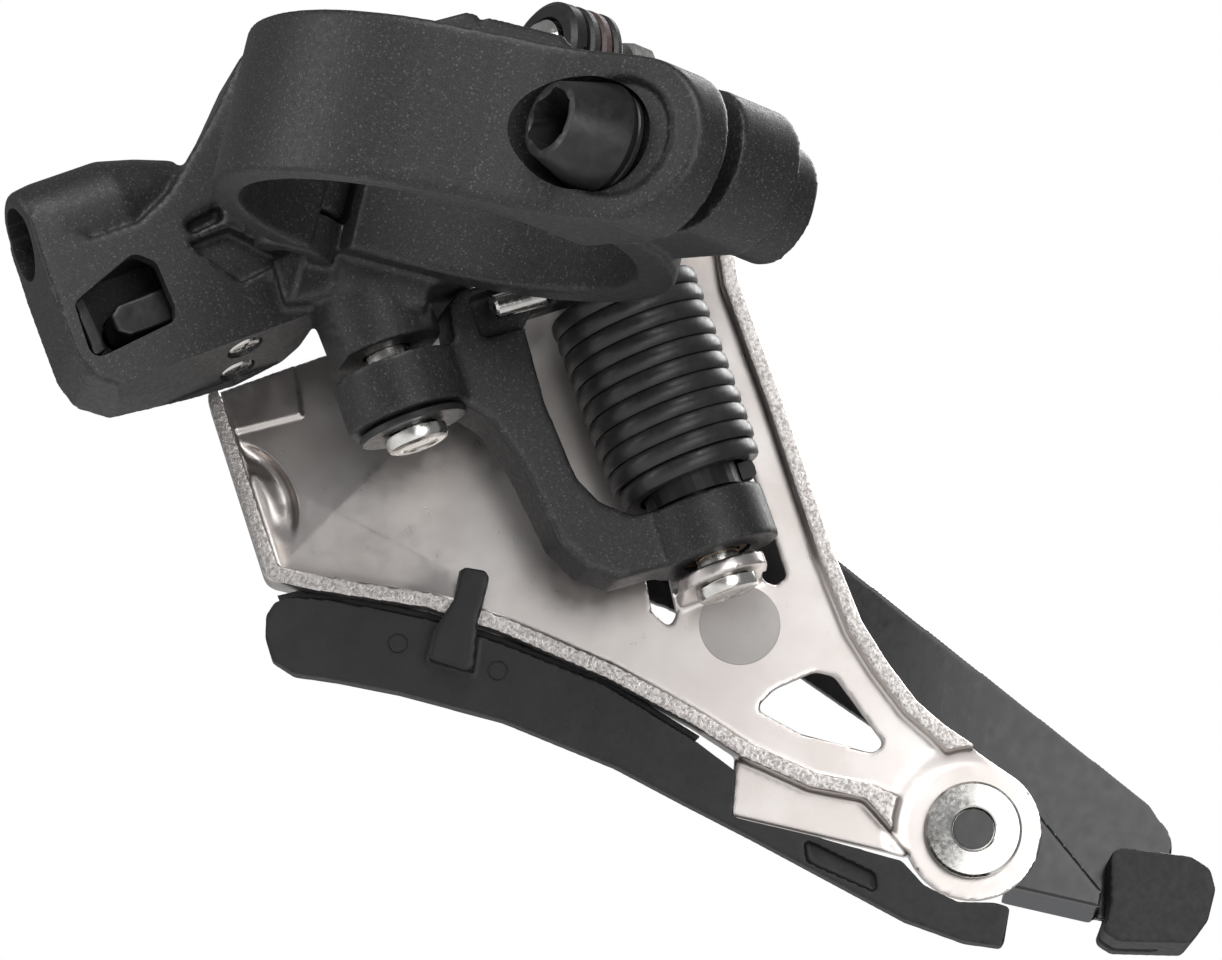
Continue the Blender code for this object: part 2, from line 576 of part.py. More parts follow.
def front_bridge():
    """Channel that ties the two plates together above the chain."""
    inner_face = -INNER_Y - SHEET / 2 - GAP
    outer_face = -OUTER_Y + SHEET / 2 + GAP
    top = [(-9.2, -11.2), (-8.6, -12.2), (3.4, -4.6), (2.8, -3.6)]
    flange = [(-9.2, -11.2), (-8.4, -15.6), (-4.2, -16.8), (5.0, -10.6), (2.8, -3.6)]
    body = slab("front_bridge", top, outer_face, inner_face, UPRIGHT)
    add(body, slab("bridge_inner", flange, inner_face - SHEET, inner_face, UPRIGHT))
    add(body, slab("bridge_outer", flange, outer_face, outer_face + SHEET, UPRIGHT))
    for index, at in enumerate(NOSE_RIVETS):
        cut(body, rod(f"bridge_bore_{index}", NOSE_RIVET_R + GAP, -60, -30, UPRIGHT, at, 20))
    return finish(body, GLOSS)


def rivet(name, at, shank, head, low, high, sides=28):
    """A rivet through sheet between two depths, with a flat head on each side."""
    body = rod(name, shank, low, high, UPRIGHT, at, sides)
    add(body, rod(name + "_near", head, high - 0.05, high + 0.8, UPRIGHT, at, sides, top=head * 0.82))
    add(body, rod(name + "_far", head * 0.82, low - 0.8, low + 0.05, UPRIGHT, at, sides, top=head))
    return finish(body, STEEL)


def skid_plate():
    """Plastic strip clipped under the inner plate."""
    lower = [(-8.2, -34.2), (-9.6, -36.6), (-8.3, -39.1), (-5.6, -40.5), (5.4, -39.9),
             (13.0, -40.3), (26.7, -43.3), (35.8, -46.2), (51.9, -50.6), (56.5, -51.6),
             (60.2, -51.5), (62.3, -50.5), (61.4, -47.8)]
    upper = [(57.3, -48.0), (51.0, -46.6), (35.4, -44.7), (34.8, -40.1), (30.4, -38.3),
             (21.9, -35.9), (11.4, -33.9), (4.4, -33.2), (-6.8, -34.0)]
    body = slab("skid_plate", lower + upper, *SKID_SPAN, UPRIGHT)
    clip = [(3.9, -28.6), (5.4, -37.6), (11.0, -37.0), (8.8, -27.6)]
    near_face = -INNER_Y + SHEET / 2 + RIM + GAP
    add(body, slab("skid_clip", clip, near_face, near_face + 1.4, UPRIGHT))
    add(body, slab("clip_root", [(5.0, -34.4), (5.4, -37.6), (11.0, -37.0), (10.6, -34.4)],
                   SKID_SPAN[0] + 1.0, near_face + 1.4, UPRIGHT))
    return finish(body, PLASTIC)


def tail_bumper():
    """Chamfered plastic block on the outer plate's tail."""
    outline = [(70.2, -38.6), (75.4, -37.4), (79.0, -38.0), (80.4, -39.6), (80.2, -43.6),
               (78.8, -46.4), (73.8, -47.4), (70.2, -46.4)]
    body = slab("tail_bumper", outline, -53.6, -43.6, UPRIGHT)
    soften(body, 0.8)
    slot = [(60.0, -50.0), (76.6, -50.0), (76.6, -30.0), (60.0, -30.0)]
    cut(body, slab("bumper_slot", slot, -OUTER_Y - SHEET / 2 - GAP, -OUTER_Y + SHEET / 2 + GAP,
                   UPRIGHT))
    return finish(body, PLASTIC)


# --- build ------------------------------------------------------------------
base_member()
clamp_band()
clamp_bolt()
clamp_bolt_washer()
clamp_nut()
clamp_hinge_pin()
limit_screw("low_limit_screw", LIMIT_SCREWS[0])
limit_screw("high_limit_screw", LIMIT_SCREWS[1])
casing_liner()
adjuster_slider()
adjuster_plate()
cable_adjust_bolt()
front_pin("inner_link_pin", LINK_FRONT, -17.8, -16.5, -17.0, -1.0)
finish(ring("inner_link_washer", 5.0, PIN_R + GAP, -16.2, -15.5, PIVOTS, LINK_FRONT), STEEL)
inner_link()
spring_hook_pin()
bush("inner_link_front_bush", LINK_FRONT, -15.0, -10.4)
bush("inner_link_rear_bush", LINK_REAR, -35.0, -30.2)
finish(ring("spring_sleeve", 4.5, PIN_R + GAP, -29.6, -9.0, PIVOTS, LINK_REAR), PLASTIC)
return_spring()
front_pin("cage_pivot_pin", LINK_REAR, -38.9, -37.7, -38.0, -3.8)
front_pin("outer_link_front_pin", OUTER_FRONT, 18.7, 19.9, 7.0, 19.0)
front_pin("outer_link_rear_pin", OUTER_REAR, 2.9, 4.1, -5.8, 3.2)
outer_link()
cable_clamp_plate()
cable_fixing_bolt()
anchor_nut()
inner_cage_plate()
outer_cage_plate()
front_bridge()
rivet("tail_rivet", BOSS, TAIL_RIVET_R, 4.4, -40.4, -37.1)
rivet("front_rivet_inner", NOSE_RIVETS[0], NOSE_RIVET_R, 2.6, -50.9, -37.1)
rivet("front_rivet_outer", NOSE_RIVETS[1], NOSE_RIVET_R, 2.6, -50.9, -37.1)
skid_plate()
tail_bumper()
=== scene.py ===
"""Looks of a side-swing front derailleur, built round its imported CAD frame.

Lengths are in millimetres in this script and become metres where meshes are made. The frame is
the CAD's: origin at the centre of the seat-tube clamp, +Z up the tube, +X to the rear wheel and
+Y to the chainring side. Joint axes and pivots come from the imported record.
"""
import json
from math import atan2, cos, hypot, pi, radians, sin

import bmesh
import bpy
from mathutils import Matrix, Vector

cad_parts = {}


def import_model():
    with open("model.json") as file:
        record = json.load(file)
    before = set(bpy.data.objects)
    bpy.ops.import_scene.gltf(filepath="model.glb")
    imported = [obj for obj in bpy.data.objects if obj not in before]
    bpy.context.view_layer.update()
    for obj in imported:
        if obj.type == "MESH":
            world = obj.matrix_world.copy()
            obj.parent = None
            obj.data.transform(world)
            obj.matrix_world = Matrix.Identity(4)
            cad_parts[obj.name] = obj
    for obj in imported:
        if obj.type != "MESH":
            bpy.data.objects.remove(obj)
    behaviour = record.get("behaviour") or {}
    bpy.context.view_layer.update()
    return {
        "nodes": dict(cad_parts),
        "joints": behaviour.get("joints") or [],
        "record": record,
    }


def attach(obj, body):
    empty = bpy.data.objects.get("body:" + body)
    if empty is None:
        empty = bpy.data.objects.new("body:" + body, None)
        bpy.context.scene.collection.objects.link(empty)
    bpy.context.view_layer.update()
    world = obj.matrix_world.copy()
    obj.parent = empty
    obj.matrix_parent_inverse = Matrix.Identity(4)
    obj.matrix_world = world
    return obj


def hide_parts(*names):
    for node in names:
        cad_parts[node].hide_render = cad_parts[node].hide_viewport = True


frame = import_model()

MM = 0.001
CAST_VOXEL = 0.27  # remeshing grid of the castings
SHEET_VOXEL = 0.2  # and of pressed and moulded parts
FINE_VOXEL = 0.16  # and of the small parts in the window
GAP = 0.3  # running gap between neighbouring pieces

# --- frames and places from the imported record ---
joints = {joint["name"]: joint for joint in frame["joints"]}


def pivot_at(name):
    """A joint's point, in mm."""
    return Vector(joints[name]["pos_m"]) / MM


def direction(name):
    """A joint's axis."""
    return Vector(joints[name]["axis"]).normalized()


UP = Vector((0, 0, 1))
SIDE = Vector((0, 1, 0))
PIVOT = direction("inner_link_pivot")
ALONG = SIDE.cross(PIVOT)
BOLT = direction("clamp_bolt_travel")
EAR = UP.cross(BOLT)
CABLE_SIDE = direction("cable_adjust_turn")
CABLE_UP = direction("low_limit_screw_turn")
CABLE = CABLE_SIDE.cross(CABLE_UP)


def basis(x, y, z, at=(0, 0, 0)):
    """A placement whose local axes are x, y and z, with its origin at a point in mm."""
    matrix = Matrix((x, y, z)).transposed().to_4x4()
    matrix.translation = Vector(at)
    return matrix


def in_pivots(name):
    """A joint's point across the pivots: along and to the side."""
    point = pivot_at(name)
    return (point.dot(ALONG), point.dot(SIDE))


HINGE_AT = tuple(pivot_at("clamp_band_hinge").to_2d())
LINK_FRONT = in_pivots("inner_link_pivot")
LINK_REAR = in_pivots("cage_pivot")
OUTER_FRONT = in_pivots("outer_link_pivot")
OUTER_REAR = tuple(r + o - f for r, o, f in zip(LINK_REAR, OUTER_FRONT, LINK_FRONT))
LINK_RUN = hypot(LINK_REAR[0] - LINK_FRONT[0], LINK_REAR[1] - LINK_FRONT[1])
LINK_REST = atan2(LINK_REAR[1] - LINK_FRONT[1], LINK_REAR[0] - LINK_FRONT[0])
LINK_DIR = ALONG * cos(LINK_REST) + SIDE * sin(LINK_REST)
LINK_NEAR = LINK_DIR.cross(PIVOT)  # from the links towards the seat tube

CASING_MOUTH = (-37.3, 21.0, -10.8)
ANCHOR = (15.0, 36.0, 14.1)  # cable anchor: along, side, up the pivots

PIVOTS = basis(ALONG, SIDE, PIVOT)
PLAN = Matrix.Identity(4)
UPRIGHT = basis(Vector((1, 0, 0)), UP, -SIDE)  # side view, z towards the tube
TURNED = basis(ALONG, PIVOT, -SIDE)  # the same plane, square to the pivots
EARS = basis(EAR, UP, -BOLT)  # z from the bolt head to the nut
HOUSING = basis(CABLE, CABLE_UP, -CABLE_SIDE, CASING_MOUTH)
ALONG_CABLE = basis(CABLE_UP, CABLE_SIDE, CABLE, CASING_MOUTH)
LIMITS = basis(CABLE, CABLE_SIDE, CABLE_UP, CASING_MOUTH)
LINK = basis(LINK_DIR, PIVOT, LINK_NEAR, ALONG * LINK_FRONT[0] + SIDE * LINK_FRONT[1])
OUTER_RUN = basis(LINK_DIR, PIVOT, LINK_NEAR, ALONG * OUTER_FRONT[0] + SIDE * OUTER_FRONT[1])
ANCHORS = basis(EAR, UP, -BOLT, ALONG * ANCHOR[0] + SIDE * ANCHOR[1] + PIVOT * ANCHOR[2])

TUBE_R = 17.45  # seat tube of 34.9 mm
BAND_R = 21.0  # outside of the clamp band
BAND_HALF = 7.3  # half the band's height
EAR_TIP = 34.7  # near ear's tip, from the tube's axis
BOLT_S = 24.5  # clamp bolt, from the tube's axis
AT_BOLT = (BOLT_S, 0)
BOLT_HOLE_R = 3.2
HEAD_SEAT = -0.6  # where the clamp bolt's washer has its seat
M5_R = 2.5
M5_HOLE_R = 2.8
KNUCKLE_R = 3.6
KNUCKLE_HALF = 3.2
HINGE_PIN_R = 1.3
PIN_R = 2.0  # the links' pivot pins
PIN_HEAD_R = 2.9
BUSH_HOLE_R = 3.3
INNER_Y = 38.0  # middle of the inner cage plate
OUTER_Y = 50.0  # middle of the outer cage plate
SHEET = 1.2
RIM = 2.0  # the inner plate's rim above its face
INNER_NEAR = -INNER_Y + SHEET / 2  # the inner plate's faces in side view
INNER_FAR = -INNER_Y - SHEET / 2
BOSS = (57.3, -41.2)  # tail rivet in side view
BOSS_R = 6.3
TAIL_RIVET_R = 2.6
NOSE_RIVET_R = 1.5
NOSE_RIVETS = ((-4.7, -13.4), (1.7, -9.2))
SKID_SPAN = (-38.1, -35.6)


# --- materials ---
class Shader:
    """A Principled material whose colour, roughness and bump come from nodes."""

    def __init__(self, name, colour, roughness, metallic, coat=0.0, specular=0.5):
        self.material = bpy.data.materials.new(name)
        self.material.use_nodes = True
        self.nodes = self.material.node_tree.nodes
        self.links = self.material.node_tree.links
        self.shader = self.nodes["Principled BSDF"]
        self.shader.inputs["Base Color"].default_value = (*colour, 1)
        self.shader.inputs["Roughness"].default_value = roughness
        self.shader.inputs["Metallic"].default_value = metallic
        self.shader.inputs["Coat Weight"].default_value = coat
        self.shader.inputs["Coat Roughness"].default_value = 0.08
        self.shader.inputs["Specular IOR Level"].default_value = specular
        self.place = self.nodes.new("ShaderNodeTexCoord").outputs["Object"]
        self.normal = None

    def noise(self, size, detail=3.0, rough=0.5, stretch=None):
        """Noise with features of about size mm; stretch scales x, y and z."""
        node = self.nodes.new("ShaderNodeTexNoise")
        node.inputs["Scale"].default_value = 1 / (size * MM)
        node.inputs["Detail"].default_value = detail
        node.inputs["Roughness"].default_value = rough
        source = self.place
        if stretch:
            mapping = self.nodes.new("ShaderNodeMapping")
            mapping.inputs["Scale"].default_value = stretch
            self.links.new(source, mapping.inputs["Vector"])
            source = mapping.outputs["Vector"]
        self.links.new(source, node.inputs["Vector"])
        return node.outputs["Fac"]

    def cells(self, size, output="Distance"):
        """Cells of about size mm: the distance to a cell's middle, or a colour for each."""
        node = self.nodes.new("ShaderNodeTexVoronoi")
        node.inputs["Scale"].default_value = 1 / (size * MM)
        self.links.new(self.place, node.inputs["Vector"])
        return node.outputs[output]

    def ramp(self, value, stops):
        """A ramp from positions to grey levels or colours."""
        node = self.nodes.new("ShaderNodeValToRGB")
        elements = node.color_ramp.elements
        while len(elements) < len(stops):
            elements.new(0.5)
        for element, (position, colour) in zip(elements, stops):
            element.position = position
            level = colour if isinstance(colour, tuple) else (colour, colour, colour)
            element.color = (*level, 1)
        self.links.new(value, node.inputs["Fac"])
        return node.outputs["Color"]

    def multiply(self, first, second):
        node = self.nodes.new("ShaderNodeMath")
        node.operation = "MULTIPLY"
        self.links.new(first, node.inputs[0])
        self.links.new(second, node.inputs[1])
        return node.outputs[0]

    def mix(self, factor, first, second):
        """From the first colour to the second; either may be a plain colour."""
        node = self.nodes.new("ShaderNodeMix")
        node.data_type = "RGBA"
        self.links.new(factor, node.inputs["Factor"])
        for value, socket in ((first, node.inputs["A"]), (second, node.inputs["B"])):
            if isinstance(value, tuple):
                socket.default_value = (*value, 1)
            else:
                self.links.new(value, socket)
        return node.outputs["Result"]

    def colour(self, value):
        self.links.new(value, self.shader.inputs["Base Color"])

    def roughness(self, value):
        self.links.new(value, self.shader.inputs["Roughness"])

    def vary_colour(self, low, high, value):
        """Colour that goes from low to high with a noise."""
        self.colour(self.ramp(value, [(0.3, low), (0.7, high)]))

    def vary_roughness(self, low, high, value):
        """Roughness that goes from low to high with a noise."""
        self.roughness(self.ramp(value, [(0.3, low), (0.7, high)]))

    def bump(self, value, height, strength=1.0):
        """Another layer of bump, height in mm."""
        node = self.nodes.new("ShaderNodeBump")
        node.inputs["Distance"].default_value = height * MM
        node.inputs["Strength"].default_value = strength
        self.links.new(value, node.inputs["Height"])
        if self.normal is not None:
            self.links.new(self.normal, node.inputs["Normal"])
        self.normal = node.outputs["Normal"]
        self.links.new(self.normal, self.shader.inputs["Normal"])


def edges(shader, low, high):
    """Mask for a painted highlight on convex edges: 0 on faces, 1 on sharp edges."""
    geometry = shader.nodes.new("ShaderNodeNewGeometry")
    return shader.ramp(geometry.outputs["Pointiness"], [(low, 0.0), (high, 1.0)])


def cast_black():
    """Black painted aluminium casting: fine grain with tiny bright flakes, and a painted highlight on
    convex edges.
    """
    made = Shader("cast_black", (0.014, 0.014, 0.015), 0.5, 0.0)
    grain = made.noise(0.15, 2, 0.6)
    base = made.ramp(grain, [(0.35, (0.007, 0.007, 0.0074)), (0.68, (0.026, 0.0255, 0.0255))])
    sparse = made.ramp(made.cells(0.2, output="Color"), [(0.66, 0.0), (0.9, 1.0)])
    dot = made.ramp(made.cells(0.2), [(0.25, 1.0), (0.6, 0.0)])
    # painted highlight: colour lightened on convex edges by the pointiness mask
    grain_with_painted_edge_highlight = made.mix(edges(made, 0.53, 0.62), base, (0.035, 0.035, 0.036))
    made.colour(made.mix(made.multiply(sparse, dot), grain_with_painted_edge_highlight, (0.085, 0.083, 0.082)))
    made.vary_roughness(0.4, 0.54, made.noise(0.5, 3))
    made.bump(grain, 0.022, 0.7)
    made.bump(made.noise(0.9, 3), 0.05, 0.3)
    return made.material


def satin_sheet():
    """Plated steel sheet with a warm satin finish and faint rolling marks."""
    made = Shader("satin_sheet", (0.66, 0.61, 0.585), 0.3, 1.0)
    made.colour(made.ramp(made.noise(7.0, 4), [(0.35, (0.64, 0.59, 0.56)), (0.65, (0.73, 0.69, 0.665))]))
    made.vary_roughness(0.27, 0.37, made.noise(1.6, 5, 0.6))
    made.bump(made.noise(0.35, 3), 0.004, 0.5)
    made.bump(made.noise(0.3, 3, stretch=(0.12, 1, 1)), 0.006, 0.5)
    return made.material


def sheared_edge():
    """Bright sheared metal with tears and ridges."""
    made = Shader("sheared_edge", (0.66, 0.63, 0.61), 0.35, 1.0)
    tear = made.noise(0.28, 4, 0.6)
    made.colour(made.ramp(tear, [(0.34, (0.3, 0.275, 0.26)), (0.58, (0.62, 0.59, 0.57))]))
    made.roughness(made.ramp(tear, [(0.3, 0.46), (0.7, 0.26)]))
    made.bump(tear, 0.06, 0.7)
    return made.material


def bright_steel():
    """Turned bright steel."""
    made = Shader("bright_steel", (0.74, 0.73, 0.7), 0.22, 1.0)
    made.vary_colour((0.66, 0.64, 0.6), (0.82, 0.81, 0.78), made.noise(1.5, 4))
    made.vary_roughness(0.14, 0.3, made.noise(0.4, 3))
    made.bump(made.noise(0.12, 2, stretch=(1, 0.2, 1)), 0.006, 0.4)
    return made.material


def dark_steel():
    """Black-finished bolt steel with a painted highlight on its convex edges."""
    made = Shader("dark_steel", (0.03, 0.03, 0.031), 0.36, 0.6)
    base = made.ramp(made.noise(1.2, 4), [(0.3, (0.022, 0.022, 0.023)), (0.7, (0.04, 0.04, 0.041))])
    # painted highlight: colour lightened on convex edges by the pointiness mask
    made.colour(made.mix(edges(made, 0.53, 0.62), base, (0.06, 0.06, 0.06)))
    made.vary_roughness(0.28, 0.44, made.noise(0.5, 3))
    made.bump(made.noise(0.2, 2), 0.008, 0.5)
    return made.material


def gloss_black():
    """Glossy electro-coated sheet with a faint ripple."""
    made = Shader("gloss_black", (0.008, 0.008, 0.009), 0.16, 0.0, coat=0.4, specular=0.4)
    made.vary_colour((0.006, 0.006, 0.007), (0.011, 0.011, 0.012), made.noise(4, 3))
    made.vary_roughness(0.1, 0.24, made.noise(1.2, 4))
    made.bump(made.noise(1.4, 2), 0.03, 0.25)
    made.bump(made.noise(0.3, 2), 0.004, 0.4)
    return made.material


def moulded_plastic():
    """Glass-filled black plastic with a fine moulded grain."""
    made = Shader("moulded_plastic", (0.013, 0.013, 0.014), 0.48, 0.0, specular=0.4)
    base = made.ramp(made.noise(3, 4), [(0.3, (0.01, 0.01, 0.0105)), (0.7, (0.016, 0.016, 0.0165))])
    specks = made.ramp(made.noise(0.18, 2), [(0.7, 0.0), (0.8, 1.0)])
    made.colour(made.mix(specks, base, (0.05, 0.05, 0.048)))
    made.vary_roughness(0.4, 0.56, made.noise(0.6, 3))
    made.bump(made.noise(0.14, 2), 0.012, 0.6)
    made.bump(made.noise(1.8, 3), 0.05, 0.25)
    return made.material


def spring_black():
    """Black spring wire with drawing marks."""
    made = Shader("spring_black", (0.03, 0.03, 0.031), 0.34, 0.3)
    made.vary_colour((0.024, 0.024, 0.025), (0.042, 0.042, 0.043), made.noise(2, 4))
    made.vary_roughness(0.28, 0.46, made.noise(0.5, 3))
    made.bump(made.noise(0.2, 3), 0.012, 0.5)
    return made.material


def bush_bronze():
    """Sintered bronze."""
    made = Shader("bush_bronze", (0.4, 0.26, 0.14), 0.38, 1.0)
    made.vary_colour((0.3, 0.19, 0.1), (0.46, 0.31, 0.17), made.noise(0.5, 4))
    made.vary_roughness(0.3, 0.48, made.noise(0.4, 3))
    made.bump(made.noise(0.2, 3), 0.01, 0.5)
    return made.material


def liner_brown():
    """Dull red-brown plastic liner."""
    made = Shader("liner_brown", (0.07, 0.045, 0.04), 0.5, 0.0)
    made.vary_colour((0.05, 0.032, 0.029), (0.1, 0.066, 0.06), made.noise(0.6, 4))
    made.vary_roughness(0.42, 0.58, made.noise(0.4, 3))
    made.bump(made.noise(0.2, 3), 0.01, 0.5)
    return made.material


def film():
    """Matt label film, blank."""
    made = Shader("label_film", (0.5, 0.47, 0.455), 0.6, 0.3)
    made.vary_colour((0.47, 0.445, 0.43), (0.53, 0.5, 0.485), made.noise(4, 2))
    made.vary_roughness(0.54, 0.66, made.noise(0.4, 3))
    made.bump(made.noise(0.3, 2), 0.004, 0.4)
    return made.material


CAST = cast_black()
SATIN = satin_sheet()
SHEARED = sheared_edge()
STEEL = bright_steel()
DARK = dark_steel()
GLOSS = gloss_black()
PLASTIC = moulded_plastic()
SPRING = spring_black()
BRONZE = bush_bronze()
LINER = liner_brown()
FILM = film()
SLOTS = {"black_cast": CAST, "satin_sheet": SATIN, "bright_steel": STEEL, "dark_steel": DARK,
         "black_sheet": GLOSS, "dark_plastic": PLASTIC, "spring_wire": SPRING,
         "bush_bronze": BRONZE}
for part in frame["record"]["subparts"]:
    carried = frame["nodes"][part["node"]]
    carried.data.materials.clear()
    carried.data.materials.append(SLOTS[part["material_slot"]])


# --- modelling helpers ---
def piece(name, form, matrix):
    """A bmesh in local mm as an object whose mesh is in the shared frame."""
    bmesh.ops.recalc_face_normals(form, faces=form.faces)
    bmesh.ops.transform(form, matrix=Matrix.Scale(MM, 4) @ matrix, verts=form.verts)
    if matrix.determinant() < 0:
        bmesh.ops.reverse_faces(form, faces=form.faces)
    mesh = bpy.data.meshes.new(name)
    form.to_mesh(mesh)
    form.free()
    body = bpy.data.objects.new(name, mesh)
    bpy.context.scene.collection.objects.link(body)
    return body


def slab(outline, low, high, matrix):
    """A flat outline in local x, y, thickened along local z from low to high."""
    form = bmesh.new()
    base = form.faces.new([form.verts.new((x, y, low)) for x, y in outline])
    grown = bmesh.ops.extrude_face_region(form, geom=[base])["geom"]
    raised = [part for part in grown if isinstance(part, bmesh.types.BMVert)]
    bmesh.ops.translate(form, vec=(0, 0, high - low), verts=raised)
    return piece("slab", form, matrix)


def rod(radius, low, high, matrix, at=(0, 0), top=None, sides=64):
    """A cylinder along local z; top is the radius at its high end."""
    form = bmesh.new()
    end = radius if top is None else top
    bmesh.ops.create_cone(form, cap_ends=True, segments=sides, radius1=radius, radius2=end,
                          depth=high - low)
    bmesh.ops.translate(form, vec=(at[0], at[1], (low + high) / 2), verts=form.verts)
    return piece("rod", form, matrix)


def block(low, high, matrix):
    """A box between two corners."""
    form = bmesh.new()
    bmesh.ops.create_cube(form, size=1)
    bmesh.ops.scale(form, vec=[b - a for a, b in zip(low, high)], verts=form.verts)
    bmesh.ops.translate(form, vec=[(a + b) / 2 for a, b in zip(low, high)], verts=form.verts)
    return piece("block", form, matrix)


def turned(profile, matrix, at=(0, 0), sides=72):
    """A turned solid from (radius, height) points; both ends close on the axis."""
    form = bmesh.new()
    rings = []
    for radius, height in profile:
        turns = [2 * pi * k / sides for k in range(sides)] if radius > 0 else [0]
        rings.append([form.verts.new((at[0] + radius * cos(t), at[1] + radius * sin(t), height))
                      for t in turns])
    for first, second in zip(rings, rings[1:] + rings[:1]):
        for k in range(sides):
            corners = [first[k % len(first)], first[(k + 1) % len(first)],
                       second[(k + 1) % len(second)], second[k % len(second)]]
            unique = list(dict.fromkeys(corners))
            if len(unique) > 2:
                form.faces.new(unique)
    return piece("turned", form, matrix)


def hollow(outer, inner, low, high, matrix, at=(0, 0), chamfer=0.15):
    """A washer or bush with chamfered edges."""
    profile = [(inner, low + chamfer), (inner + chamfer, low), (outer - chamfer, low),
               (outer, low + chamfer), (outer, high - chamfer), (outer - chamfer, high),
               (inner + chamfer, high), (inner, high - chamfer)]
    return turned(profile, matrix, at)


def shank(radius, low, high, chamfer=0.3):
    """Profile of a plain pin with chamfered ends."""
    return [(0, low), (radius - chamfer, low), (radius, low + chamfer),
            (radius, high - chamfer), (radius - chamfer, high), (0, high)]


def settle(body):
    """Apply the modifiers."""
    graph = bpy.context.evaluated_depsgraph_get()
    mesh = bpy.data.meshes.new_from_object(body.evaluated_get(graph))
    body.modifiers.clear()
    body.data = mesh


def carve(body, joined=(), removed=(), kept=()):
    """Boolean work with tools that are deleted afterwards."""
    for tools, operation in ((joined, "UNION"), (kept, "INTERSECT"), (removed, "DIFFERENCE")):
        for tool in tools:
            change = body.modifiers.new(operation, "BOOLEAN")
            change.operation = operation
            change.object = tool
            change.solver = "EXACT"
    settle(body)
    for tool in (*joined, *removed, *kept):
        bpy.data.objects.remove(tool, do_unlink=True)


def melt(body, voxel, rounds, grid=None):
    """Remesh to small even faces on a grid and smooth them, which rounds every edge."""
    turn = (Matrix.Scale(MM, 4) @ grid @ Matrix.Scale(1 / MM, 4)) if grid else Matrix.Identity(4)
    body.data.transform(turn.inverted())
    remesh = body.modifiers.new("remesh", "REMESH")
    remesh.mode = "VOXEL"
    remesh.voxel_size = voxel * MM
    smooth = body.modifiers.new("smooth", "SMOOTH")
    smooth.iterations = rounds
    smooth.factor = 0.5
    settle(body)
    body.data.transform(turn)


def shape(body, move):
    """Move each point, in mm, by a function."""
    for vertex in body.data.vertices:
        vertex.co = move(vertex.co / MM) * MM


def show(body, name, rides_on, slot, *nodes, angle=None, material=None):
    """Name a finished piece, give it its slot's material and let it ride on its body."""
    body.name = name
    body.data.name = name
    body.data.materials.clear()
    body.data.materials.append(material or SLOTS[slot])
    body.data.shade_smooth()
    if angle:
        body.data.set_sharp_from_angle(angle=radians(angle))
    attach(body, rides_on)
    if nodes:
        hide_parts(*nodes)


def arc(centre, radius, start, stop, steps):
    """Points on an arc, start and stop in degrees."""
    points = []
    for index in range(steps + 1):
        angle = radians(start + (stop - start) * index / steps)
        points.append((centre[0] + radius * cos(angle), centre[1] + radius * sin(angle)))
    return points


def step(value, low, high):
    """0 below low and 1 above high, with a smooth rise between."""
    t = max(0.0, min(1.0, (value - low) / (high - low)))
    return t * t * (3 - 2 * t)


def sector(inner, outer, start, stop, steps):
    """A ring's outline between two angles."""
    return arc((0, 0), outer, start, stop, steps) + arc((0, 0), inner, stop, start, steps)


def stadium(start, tip, half, steps=40):
    """A bar outline from start to a round tip, 2 x half wide."""
    return [(start, -half)] + arc((tip - half, 0), half, -90, 90, steps) + [(start, half)]


def hexagon(across_flats, turn=0):
    """A hexagon's outline; turn is the first corner's angle."""
    return arc((0, 0), across_flats / 2 / cos(pi / 6), turn, turn + 300, 5)


def rounded(outline, radius, steps=6):
    """The outline with its corners rounded; corners that are already blunt stay."""
    blunt = 0.2
    longest = 0.45  # of each side, at most
    result = []
    count = len(outline)
    for index in range(count):
        before, here, after = (Vector(outline[(index + k) % count]) for k in (-1, 0, 1))
        first, second = before - here, after - here
        turn = pi - first.angle(second, 0)
        if turn < blunt:
            result.append(tuple(here))
            continue
        reach = min(radius * abs(sin(turn / 2) / cos(turn / 2)), longest * first.length,
                    longest * second.length)
        start, end = here + first.normalized() * reach, here + second.normalized() * reach
        for part in range(steps + 1):
            t = part / steps
            result.append(tuple(start * (1 - t) ** 2 + here * 2 * t * (1 - t) + end * t ** 2))
    return result


def inset(outline, distance):
    """The outline moved inwards by a distance; its points run anticlockwise."""
    least = 0.45  # keeps sharp corners from running far inside
    result = []
    count = len(outline)
    for index in range(count):
        before, here, after = (Vector(outline[(index + k) % count]) for k in (-1, 0, 1))
        first = (here - before).normalized()
        second = (after - here).normalized()
        inward = (Vector((-first.y, first.x)) + Vector((-second.y, second.x))).normalized()
        spread = max(inward.dot(Vector((-first.y, first.x))), least)
        result.append(tuple(here + inward * distance / spread))
    return result


